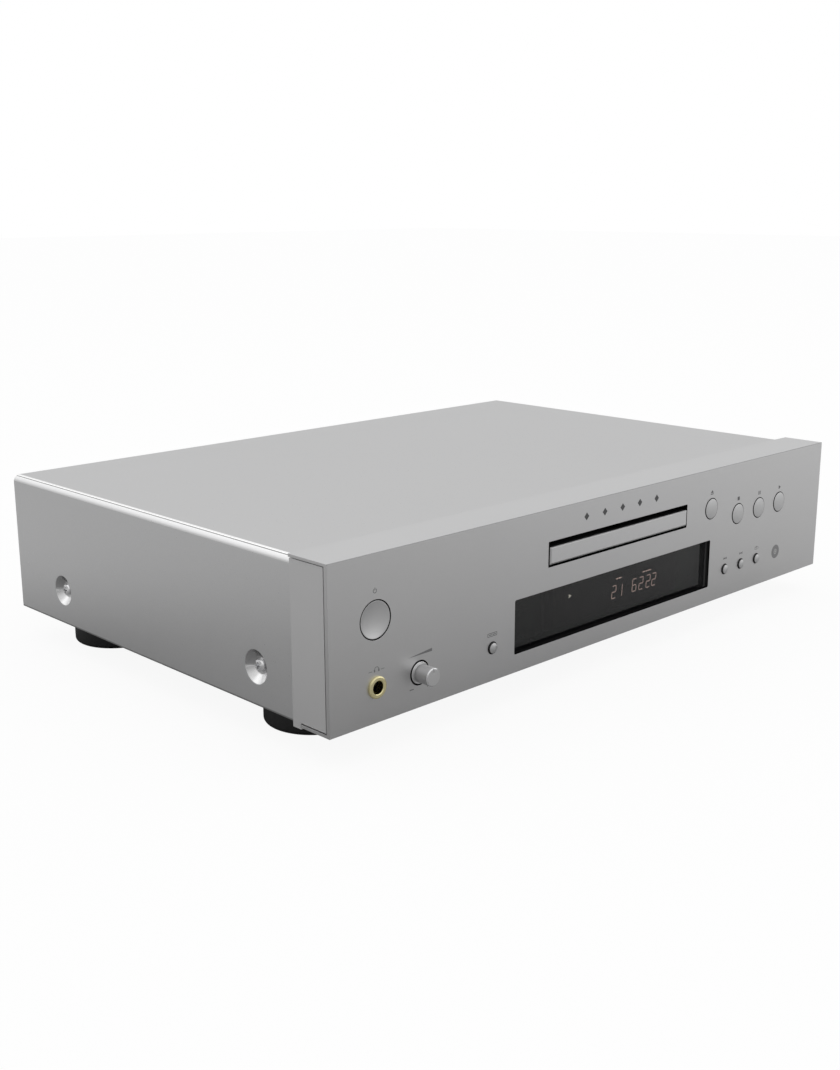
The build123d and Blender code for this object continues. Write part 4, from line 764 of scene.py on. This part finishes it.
def board(name, axis, base, parts):
    """Green circuit board with copper runs and tinned pads, lying across an axis from base up.

    parts is a list of (region, finish); a region is three ranges, or a height it lies above.
    """
    mat = Material(name)
    x, y, z = mat.xyz()
    u, v = (x, y) if axis == "Z" else (x, z)
    pad_pitch, run_pitch, cell_size = 2.54, 1.27, 7.62

    def snap(length):
        return mat.math("FLOOR", mat.times(length, 1000 / cell_size))

    def cycle(value, rate):
        return mat.math("FRACT", mat.times(value, rate))

    def off_middle(length):
        across = cycle(length, 1000 / pad_pitch)
        return mat.math("ABSOLUTE", mat.math("SUBTRACT", across, 0.5))

    # each cell draws a random value, which sets its runs' direction and what it holds
    cell = mat.add("ShaderNodeCombineXYZ", {0: snap(u), 1: snap(v)}).outputs[0]
    pick = mat.add("ShaderNodeTexWhiteNoise", {"Vector": cell},
                   noise_dimensions="2D").outputs["Value"]
    run = mat.blend(mat.math("GREATER_THAN", pick, 0.5), u, v)
    trace = mat.all(mat.math("LESS_THAN", cycle(run, 1000 / run_pitch), 0.42),
                    mat.math("GREATER_THAN", cycle(pick, 7.0), 0.35))
    pour = mat.remap(mat.noise(16, shift=4.2), (0.54, 0.56))
    copper = mat.any(trace, pour)
    off_u, off_v = off_middle(u), off_middle(v)
    dot = mat.math("SQRT", mat.plus(mat.times(off_u, off_u), mat.times(off_v, off_v)))
    chosen = mat.math("LESS_THAN", cycle(pick, 13.0), 0.30)
    pad = mat.all(mat.math("LESS_THAN", dot, 0.26), chosen)
    hole = mat.all(mat.math("LESS_THAN", dot, 0.10), chosen)

    fine = mat.noise(0.4, rough=0.6)
    worn = mat.edge(0.15)
    bare_green, copper_green = (0.010, 0.075, 0.030), (0.022, 0.135, 0.050)
    color = mat.tone(mat.mix(copper, bare_green, copper_green), mat.about(fine, 0.12),
                     mat.about(mat.noise(20), 0.15))
    color = mat.mix(pad, color, (0.62, 0.61, 0.58))
    color = mat.mix(hole, color, (0.03, 0.03, 0.03))
    facing = mat.xyz(mat.add("ShaderNodeNewGeometry").outputs["Normal"])["XYZ".index(axis)]
    rim = mat.no(mat.math("GREATER_THAN", mat.math("ABSOLUTE", facing), 0.5))
    color = mat.mix(rim, color, (0.24, 0.21, 0.10))
    rough = mat.blend(pad, 0.30, 0.22)
    metal = mat.times(mat.math("SUBTRACT", pad, hole, clamp=True), 0.9)

    # whatever stands off the board is black plastic unless listed as a part
    off = mat.any(mat.no(mat.above(axis, base - 0.02)),
                  mat.above(axis, base + BOARD_THICK + 0.02))
    look = mat.layer(off, (color, rough, metal), ((0.018, 0.018, 0.019), 0.45, 0.0))
    for region, (part_color, part_rough, part_metal) in parts:
        mask = mat.box(*region) if isinstance(region, tuple) else mat.above("Z", region)
        tint = mat.tone(part_color, mat.about(fine, 0.10), mat.times(worn, 0.12))
        look = mat.layer(mask, look, (tint, part_rough, part_metal))
    color, rough, metal = look
    relief = mat.plus(mat.times(copper, 0.6), mat.times(fine, 0.1))
    return mat.done(color, rough, metal=metal, height=mat.blend(off, relief, fine), depth=0.03)


# finishes of parts: colour, roughness, metallic
CREAM_PLASTIC = ((0.62, 0.60, 0.54), 0.45, 0.0)
NAVY_SLEEVE = ((0.020, 0.030, 0.085), 0.35, 0.0)
BLACK_SLEEVE = ((0.018, 0.018, 0.020), 0.35, 0.0)
BROWN_SLEEVE = ((0.035, 0.022, 0.014), 0.34, 0.0)
BLUE_PLASTIC = ((0.03, 0.10, 0.24), 0.45, 0.0)
BARE_TOP = ((0.60, 0.60, 0.61), 0.28, 1.0)
PALE_TOP = ((0.62, 0.62, 0.63), 0.28, 1.0)
SATIN_METAL = ((0.50, 0.50, 0.51), 0.38, 1.0)
WARM_METAL = ((0.62, 0.61, 0.58), 0.25, 1.0)
BRIGHT_METAL = ((0.62, 0.62, 0.62), 0.22, 1.0)

FLAT_BASE = 27.4                    # underside of the two flat boards
ON = FLAT_BASE + BOARD_THICK + 0.05  # just above their upper face

# ((x range, depth range, z range), finish)
FRONT_PARTS = [(((139, 177), (18.62, 24), (46, 54)), CREAM_PLASTIC)]
POWER_PARTS = [
    (((-200, -145), (80, 104), (ON, 61.2)), NAVY_SLEEVE),
    (((-200, -145), (80, 104), (61.2, 63)), BARE_TOP),
    (((-136, -124), (78, 104), (ON, 44.6)), BLACK_SLEEVE),
    (((-136, -124), (78, 104), (44.6, 46)), BARE_TOP),
    (((-192, -166), (116, 128), (ON, 44.6)), BLACK_SLEEVE),
    (((-192, -166), (116, 128), (44.6, 46)), BARE_TOP),
    (((-152.5, -121.5), (117.9, 133), (ON, 65)), SATIN_METAL),
    (((-150, -124), (112, 117.9), (ON, 36.1)), WARM_METAL),
    (((-203, -185), (129, 141), (ON, 38)), BLUE_PLASTIC),
]
MAIN_PARTS = [
    (34.6, BROWN_SLEEVE),
    (((174, 197), (192, 243), (ON, 34.7)), BROWN_SLEEVE),
    (((134, 146), (220, 246), (ON, 34.7)), BROWN_SLEEVE),
    (((97, 107), (194, 220), (ON, 34.7)), BROWN_SLEEVE),
    (((145, 155), (175, 185), (ON, 34.7)), BROWN_SLEEVE),
    (40.6, PALE_TOP),
    (((139, 177), (103, 112), (ON, 36)), CREAM_PLASTIC),
    (((179, 193), (149, 157), (ON, 34)), BRIGHT_METAL),
]
dress("front_board", board("circuit_board_front", "Y", 17.0, FRONT_PARTS))
dress("power_board", board("circuit_board_power", "Z", FLAT_BASE, POWER_PARTS))
dress("main_board", board("circuit_board_main", "Z", FLAT_BASE, MAIN_PARTS))


def transformer():
    """Stacked laminations, a taped winding and a steel mounting strap."""
    mat = Material("core_iron_transformer")
    _, y, z = mat.xyz()
    stack = mat.wave(y, pitch=0.9)
    fine = mat.gritty(0.6)
    rust = mat.gritty(8)
    worn = mat.edge(0.3)
    core = mat.box((-184, -116), (187.9, 216.1), (24.0, 77))
    strap = mat.no(mat.above("Z", 24.05))
    laps = mat.wave(z, pitch=9.0)
    tape = mat.tone((0.62, 0.42, 0.07), mat.times(laps, 0.05), mat.about(rust, 0.15))
    clean, rusty = (0.13, 0.12, 0.115), (0.15, 0.09, 0.06)
    iron = mat.tone(mat.mix(mat.remap(rust, (0.55, 0.7)), clean, rusty),
                    mat.times(stack, 0.16), mat.about(fine, 0.2))
    color = mat.mix(core, tape, iron)
    color = mat.mix(strap, color, mat.tone((0.50, 0.50, 0.51), mat.about(fine, 0.15)))
    rough = mat.blend(core, 0.28, mat.vary(0.50, mat.about(fine, 0.2)))
    metal = mat.any(mat.times(core, 0.6), strap)
    height = mat.blend(core, mat.times(laps, 0.5), mat.plus(mat.times(stack, 0.5), fine))
    return mat.done(color, mat.blend(strap, rough, 0.36), metal=metal, height=height,
                    depth=0.06, strength=0.7)


dress("transformer", transformer())


def ribbon():
    """White film cable with grey wires and blue ends."""
    mat = Material("cable_white_film")
    wires = mat.remap(mat.wave(mat.xyz()[0], pitch=1.25), (-0.2, 0.3))
    ends = mat.any(mat.no(mat.above("Y", 24.5)), mat.above("Y", 107.0))
    color = mat.mix(wires, (0.72, 0.72, 0.70), (0.52, 0.53, 0.54))
    color = mat.mix(ends, color, (0.05, 0.16, 0.42))
    return mat.done(color, 0.34, height=wires, depth=0.05, strength=0.6)


dress("ribbon_cable", ribbon())


def phono(name, sockets, square=None):
    """Black moulded block with gold-shelled sockets, given as (x, insulator colour).

    square is the x of a square socket with a dark shutter.
    """
    mat = Material(name)
    fine = mat.gritty(0.4)
    worn = mat.edge(0.15)
    color = black_tone(mat, (0.014, 0.014, 0.015), fine, worn)
    rough, metal = mat.vary(0.46, mat.about(fine, 0.14)), 0.0
    for x, ring in sockets:
        radius = mat.radius("Y", place(x, 0, JACK_Z))
        flange = mat.all(mat.inside(radius, 6.6), mat.above("Y", 287.7))
        shell = mat.all(mat.inside(radius, 4.3), mat.above("Y", 290.65))
        core = mat.all(mat.inside(radius, 3.2), mat.above("Y", 297.3))
        contact = mat.inside(radius, 1.75)
        color = mat.mix(flange, color, mat.tone(ring, mat.about(fine, 0.08)))
        rough = mat.blend(flange, rough, 0.38)
        look = mat.layer(shell, (color, rough, metal), ((0.84, 0.70, 0.34), 0.20, 1.0))
        insulator = mat.tone(ring, mat.about(fine, 0.08))
        color, rough, metal = mat.layer(core, look, (insulator, 0.38, 0.0))
        color = mat.mix(contact, color, (0.60, 0.48, 0.20))
        metal = mat.blend(contact, metal, 1.0)
    if square:
        half = 3.7
        shutter = mat.box((square - half, square + half), (288.9, 289.2),
                          (JACK_Z - half, JACK_Z + half))
        color = mat.mix(shutter, color, (0.05, 0.05, 0.055))
    return mat.done(color, rough, metal=metal, height=fine, depth=0.008)


WHITE, RED, ORANGE = (0.62, 0.61, 0.58), (0.42, 0.018, 0.016), (0.60, 0.19, 0.02)
dress("analog_jacks", phono("gold_plate_analog", [(186, WHITE), (168, RED)]))
dress("digital_jacks", phono("gold_plate_digital", [(139, ORANGE)], square=121))


def inlet():
    """Black mains inlet with three bright pins."""
    mat = Material("socket_black_inlet")
    fine = mat.gritty(0.4)
    worn = mat.edge(0.3)
    half_x, half_z = 1.05, 2.05
    pins = mat.any(*[
        mat.box((x - half_x, x + half_x), (274.05, 289), (z - half_z, z + half_z))
        for x, z in ((-192, 43.5), (-178, 43.5), (-185, 48.5))])
    color = mat.mix(pins, black_tone(mat, (0.013, 0.013, 0.014), fine, worn),
                    (0.62, 0.62, 0.60))
    rough = mat.blend(pins, mat.vary(0.42, mat.about(fine, 0.14)), 0.24)
    return mat.done(color, rough, metal=pins, height=fine, depth=0.010, strength=0.6)


dress("ac_inlet", inlet())


# ---------------------------------------------------------------------------- outlines (x, z)
def ring_points(x, z, radius, steps, start=0.0, end=360.0):
    """Points on a circle, or on an arc with both ends included; angles in degrees."""
    count = steps if abs(end - start) >= 360 else steps + 1
    angles = [math.radians(start + (end - start) * i / steps) for i in range(count)]
    return [(x + radius * math.cos(angle), z + radius * math.sin(angle)) for angle in angles]


def rect(left, right, bottom, top, corner=0.0):
    if not corner:
        return [(left, bottom), (right, bottom), (right, top), (left, top)]
    out = []
    for x, z, start in ((right - corner, bottom + corner, -90), (right - corner, top - corner, 0),
                        (left + corner, top - corner, 90), (left + corner, bottom + corner, 180)):
        out += ring_points(x, z, corner, 6, start, start + 90)
    return out


def arc(x, z, radius, width, start, end):
    """A curved band."""
    outer = ring_points(x, z, radius + width / 2, 24, start, end)
    inner = ring_points(x, z, radius - width / 2, 24, start, end)
    return outer + inner[::-1]


def printed(name, loops, material, depth=-0.015, slot="black_moulding", thick=0.03):
    """A thin film facing the front, made of closed outlines; nested ones are holes."""
    curve = bpy.data.curves.new(name, "CURVE")
    curve.dimensions = "2D"
    curve.fill_mode = "BOTH"
    curve.extrude = thick / 2000
    for points in loops:
        spline = curve.splines.new("POLY")
        spline.points.add(len(points) - 1)
        for point, (x, z) in zip(spline.points, points):
            point.co = (x / 1000, z / 1000, 0, 1)
        spline.use_cyclic_u = True
    outline = bpy.data.objects.new(name + "_outline", curve)
    scene.collection.objects.link(outline)
    bpy.context.view_layer.update()
    evaluated = outline.evaluated_get(bpy.context.evaluated_depsgraph_get())
    mesh = bpy.data.meshes.new_from_object(evaluated)
    bpy.data.objects.remove(outline)
    upright = Matrix.Rotation(math.pi / 2, 4, "X")
    mesh.transform(Matrix.Translation((0, FACE + depth / 1000, 0)) @ upright)
    mesh.name = name
    mesh.materials.clear()
    mesh.materials.append(material)
    film = bpy.data.objects.new(name, mesh)
    scene.collection.objects.link(film)
    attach(film, "casing")


# ---------------------------------------------------------------------------- printed signs
def ink(name, color):
    """Screen-printed ink: matt, its coverage slightly uneven."""
    mat = Material(name)
    cover = mat.noise(0.35, detail=3, rough=0.65)
    tint = mat.tone(color, mat.about(cover, 0.30), mat.about(mat.noise(3), 0.12))
    rough = mat.vary(0.45, mat.about(cover, 0.15))
    return mat.done(tint, rough, height=cover, depth=0.004)


INKS = {name: ink("ink_" + name, color) for name, color in (
    ("grey", (0.105, 0.105, 0.108)),
    ("dark", (0.055, 0.055, 0.057)),
    ("pale", (0.58, 0.58, 0.57)),
    ("soft", (0.17, 0.17, 0.173)),
    ("faint", (0.215, 0.215, 0.218)),
)}


def transport_signs():
    """Eject, stop, pause and play over the four larger buttons."""
    eject_x, eject_z = 89.2, 86.4
    stop_x, pause_x, play_x = 119.0, 143.0, 167.0
    row_z = 78.0
    half = 1.15
    return [
        [(eject_x - 1.5, eject_z - 0.2), (eject_x + 1.5, eject_z - 0.2),
         (eject_x, eject_z + 1.5)],
        rect(eject_x - 1.5, eject_x + 1.5, eject_z - 1.2, eject_z - 0.65),
        rect(stop_x - half, stop_x + half, row_z - half, row_z + half),
        rect(pause_x - half, pause_x - 0.35, row_z - 1.2, row_z + 1.2),
        rect(pause_x + 0.35, pause_x + half, row_z - 1.2, row_z + 1.2),
        [(play_x - 1.1, row_z - 1.35), (play_x + 1.35, row_z), (play_x - 1.1, row_z + 1.35)],
    ]


printed("transport_signs", transport_signs(), INKS["grey"])

power = [arc(-188.4, 82.6, radius=1.05, width=0.38, start=125, end=415),
         rect(-188.6, -188.2, 82.7, 84.2)]
printed("power_sign", power, INKS["soft"])


def small_signs():
    """Skip back, skip forward and repeat over the small buttons."""
    z, half = 41.6, 0.75
    loops = []
    for middle, way in ((107.3, -1), (125.3, 1)):
        for x in (middle - way * 1.0, middle + way * 0.6):
            loops.append([(x - way * half, z - half), (x + way * half, z),
                          (x - way * half, z + half)])
        bar = middle + way * 1.65
        loops.append(rect(bar - 0.18, bar + 0.18, z - half, z + half))
    return loops + [
        arc(142.1, z, radius=half, width=0.26, start=90, end=270),
        arc(144.7, z, radius=half, width=0.26, start=-90, end=60),
        rect(142.1, 144.7, 40.72, 40.98),
        rect(142.1, 143.6, 42.22, 42.48),
        [(143.5, 41.75), (144.6, 42.35), (143.5, 42.95)],
    ]


printed("small_button_signs", small_signs(), INKS["grey"])

# a screen outline with two lines in it
screen = [rect(-110.6, -103.4, 41.0, 43.0, corner=0.3), rect(-110.3, -103.7, 41.3, 42.7, corner=0.2),
          rect(-109.7, -107.4, 41.8, 42.2), rect(-106.8, -104.3, 41.8, 42.2)]
printed("display_sign", screen, INKS["grey"])

# headphones between two dashes, over the socket
phones = [
    arc(-187.8, 43.6, radius=1.35, width=0.30, start=0, end=180),
    rect(-189.6, -188.8, 42.5, 43.8, corner=0.15), rect(-186.8, -186.0, 42.5, 43.8, corner=0.15),
    rect(-193.0, -190.6, 43.0, 43.3), rect(-185.0, -182.8, 43.0, 43.3),
]
printed("headphone_sign", phones, INKS["soft"])

# a rising wedge over the knob, minus and plus below it
level = [
    [(-167.0, 43.9), (-150.8, 43.9), (-150.8, 45.5)],
    rect(-166.2, -163.4, 26.9, 27.4), rect(-155.1, -152.3, 26.9, 27.4),
    rect(-153.95, -153.45, 25.9, 28.4),
]
printed("level_signs", level, INKS["soft"])

# a row of five plain lozenges over the tray
LOZENGE_PITCH, LOZENGE_Z, HALF_WIDE, HALF_HIGH = 16.0, 91.9, 2.1, 2.2
lozenges = [
    [(x - HALF_WIDE, LOZENGE_Z), (x, LOZENGE_Z - HALF_HIGH),
     (x + HALF_WIDE, LOZENGE_Z), (x, LOZENGE_Z + HALF_HIGH)]
    for x in (LOZENGE_PITCH * i for i in range(-2, 3))]
printed("name_row_lozenges", lozenges, INKS["dark"])

# plain disc sign: radius and steps of its circles
DISC_RINGS = [(4.5, 56), (1.75, 32), (1.25, 32), (0.7, 24)]
disc = [ring_points(166.7, 34.9, radius, steps) for radius, steps in DISC_RINGS]
printed("disc_sign", disc, INKS["faint"])


# ---------------------------------------------------------------------------- lit display
def glow(name, color, strength):
    """Lit phosphor, a touch uneven."""
    mat = Material(name)
    return mat.finish(mat.add("ShaderNodeBsdfPrincipled", {
        "Base Color": (0.05, 0.05, 0.05),
        "Roughness": 0.5,
        "Emission Color": mat.tone(color, mat.about(mat.noise(0.5), 0.35)),
        "Emission Strength": strength,
    }))


amber = glow("lit_amber", (1.0, 0.74, 0.64), strength=2.4)
cream = glow("lit_cream", (1.0, 0.97, 0.82), strength=2.2)
unlit = moulded("unlit_phosphor", (0.060, 0.060, 0.056), rough=0.7, grain=0.3, depth=0.004)

# half width and half height of a digit, bar thickness, gap at bar ends, lean per unit height
HALF_W, HALF_H, BAR, GAP, SLANT = 3.7 / 2, 7.4 / 2, 0.46, 0.10, 0.07
SHOWN = {"1": "bc", "2": "abged", "6": "acdefg"}
SPOTS = {  # ends of each of the seven bars, in half widths and half heights
    "a": ((-1, 1), (1, 1)), "d": ((-1, -1), (1, -1)), "g": ((-1, 0), (1, 0)),
    "f": ((-1, 1), (-1, 0)), "e": ((-1, 0), (-1, -1)),
    "b": ((1, 1), (1, 0)), "c": ((1, 0), (1, -1)),
}
# digit, x, z
DIGITS = [("2", 6.6, 38.9), ("1", 12.4, 38.6), ("6", 26.0, 39.2),
          ("2", 32.6, 39.0), ("2", 39.6, 38.9), ("2", 45.3, 38.9)]


def digit_bars(lit):
    """All lit, or all dark, bars of the digits."""
    loops = []
    for digit, x, z in DIGITS:
        for key, ends in SPOTS.items():
            if (key in SHOWN[digit]) != lit:
                continue
            start, end = (Vector((u * HALF_W, v * HALF_H)) for u, v in ends)
            along = (end - start).normalized()
            side = Vector((-along.y, along.x)) * BAR / 2
            start += along * GAP
            end -= along * GAP
            taper = along * BAR / 2
            points = [start, start + taper + side, end - taper + side,
                      end, end - taper - side, start + taper - side]
            loops.append([(x + point.x + SLANT * point.y, z + point.y) for point in points])
    return loops


LIT = dict(depth=9.05, slot="display_glass", thick=0.04)
printed("display_digits_lit", digit_bars(lit=True), amber, **LIT)
printed("display_digits_dark", digit_bars(lit=False), unlit, depth=9.07,
        slot="display_glass", thick=0.02)

# caption bars: left, right, bottom
CAPTION_HIGH = 0.65
CAPTIONS = [(8.2, 10.2, 46.1), (10.6, 13.4, 46.1),
            (33.8, 36.4, 45.2), (36.9, 38.9, 45.2), (39.4, 42.0, 45.2)]
captions = [rect(left, right, bottom, bottom + CAPTION_HIGH) for left, right, bottom in CAPTIONS]
printed("display_captions_lit", captions, amber, **LIT)
printed("display_play_lit", [[(-34.5, 43.9), (-32.1, 45.1), (-34.5, 46.3)]], cream, **LIT)


# ---------------------------------------------------------------------------- stage, in metres
def floor_material():
    """Pale floor, mostly self-lit and plain for the camera; for other rays its colour is graded
    across, painted light seen in reflections.
    """
    mat = Material("floor_pale")
    cloud = mat.noise(400, detail=3)
    camera_ray = mat.add("ShaderNodeLightPath").outputs["Is Camera Ray"]
    x, y, _ = mat.xyz()
    # painted light: brighter towards the front right, and again behind on the left
    across = mat.math("SUBTRACT", mat.times(x, 0.9), mat.times(y, 0.45))
    far = mat.remap(across, (-0.55, 1.0), to=(0.300, 0.73), smooth=True)
    back_left = mat.math("SUBTRACT", mat.times(y, 0.6), x)
    behind = mat.remap(back_left, (0.29, 0.52), to=(0.0, 0.27), smooth=True)
    floor_painted_light = mat.plus(mat.plus(far, behind), mat.about(cloud, 0.01))
    level = mat.blend(camera_ray, floor_painted_light, 0.86)
    color = mat.tone((1.0, 1.0, 1.0), mat.math("SUBTRACT", level, 1.0))
    diffuse = mat.add("ShaderNodeBsdfDiffuse", {"Color": color})
    lamp = mat.add("ShaderNodeEmission", {"Color": (1, 1, 1), "Strength": 1.0})
    share = mat.times(camera_ray, 0.92)
    return mat.finish(mat.add("ShaderNodeMixShader", {
        0: share, 1: diffuse.outputs[0], 2: lamp.outputs[0]}))


HALF_FLOOR = 8
floor_mesh = bpy.data.meshes.new("floor")
floor_mesh.from_pydata([(x * HALF_FLOOR, y * HALF_FLOOR, 0)
                        for x, y in ((-1, -1), (1, -1), (1, 1), (-1, 1))], [], [(0, 1, 2, 3)])
floor_mesh.materials.append(floor_material())
ground = bpy.data.objects.new("floor", floor_mesh)
scene.collection.objects.link(ground)
ground.location.z = -0.0002
ground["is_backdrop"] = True

# soft lights of the dome: direction, full within, gone beyond (degrees), gain
LOBES = [
    ((-0.30, 0.75, 0.55), 12, 42, 0.48),  # high behind on the left
    ((0.92, -0.32, 0.10), 8, 50, 0.25),   # low on the right
    ((0.678, 0.693, 0.30), 15, 55, 0.14),  # behind on the right
]


def studio():
    """Soft dome, brighter towards the top; plain white to the camera."""
    world = bpy.data.worlds.new("studio")
    scene.world = world
    world.use_nodes = True
    dome = Graph(world.node_tree, "Generated")
    light = dome.remap(dome.xyz()[2], (-0.1, 0.9), to=(0.36, 0.97), smooth=True)
    for direction, near, far, gain in LOBES:
        toward = dome.vec("DOT_PRODUCT", dome.where, tuple(Vector(direction).normalized()))
        limits = (math.cos(math.radians(far)), math.cos(math.radians(near)))
        light = dome.plus(light, dome.remap(toward, limits, to=(0.0, gain), smooth=True))
    camera_ray = dome.add("ShaderNodeLightPath").outputs["Is Camera Ray"]
    background = dome.add("ShaderNodeBackground", {
        "Color": (1, 1, 1), "Strength": dome.blend(camera_ray, light, 1.0)})
    dome.add("ShaderNodeOutputWorld", {0: background.outputs[0]})


studio()


def softbox(name, at, aim, size, power):
    lamp = bpy.data.lights.new(name, "AREA")
    lamp.shape = "RECTANGLE"
    lamp.size, lamp.size_y = size
    lamp.energy = power
    lamp.spread = math.radians(180)
    light = bpy.data.objects.new(name, lamp)
    scene.collection.objects.link(light)
    light.location = at
    light.rotation_mode = "QUATERNION"
    light.rotation_quaternion = (Vector(aim) - Vector(at)).to_track_quat("-Z", "Y")
    light.visible_camera = False


softbox("soft_top", at=(0.1, 0.1, 1.6), aim=(0, 0, 0.05), size=(2.0, 1.5), power=2.5)
softbox("soft_right", at=(1.25, -1.05, 0.50), aim=(0.15, -0.1, 0.05), size=(2.0, 0.9), power=2.2)


def camera(at, yaw, pitch, roll, lens):
    """Yaw turns from +y towards +x; angles in degrees, lens in millimetres."""
    yaw, pitch, roll = (math.radians(angle) for angle in (yaw, pitch, roll))
    ahead = Vector((math.sin(yaw) * math.cos(pitch), math.cos(yaw) * math.cos(pitch),
                    math.sin(pitch)))
    level = Vector((math.cos(yaw), -math.sin(yaw), 0))
    upright = level.cross(ahead)
    right = math.cos(roll) * level + math.sin(roll) * upright
    up = -math.sin(roll) * level + math.cos(roll) * upright
    data = bpy.data.cameras.new("camera")
    data.lens = lens
    data.sensor_width = 36.0
    data.sensor_fit = "AUTO"
    data.clip_start = 0.02
    data.clip_end = 60
    item = bpy.data.objects.new("camera", data)
    scene.collection.objects.link(item)
    pose = Matrix((right, up, -ahead)).transposed().to_4x4()
    pose.translation = Vector(at)
    item.matrix_world = pose
    scene.camera = item


camera(at=(-0.58889, -0.58342, 0.26006), yaw=44.363, pitch=-14.228, roll=-0.104, lens=44.753)
scene.view_settings.view_transform = "Standard"
scene.view_settings.look = "None"

# ---------------------------------------------------------------------------- sizes, end
low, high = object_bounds()
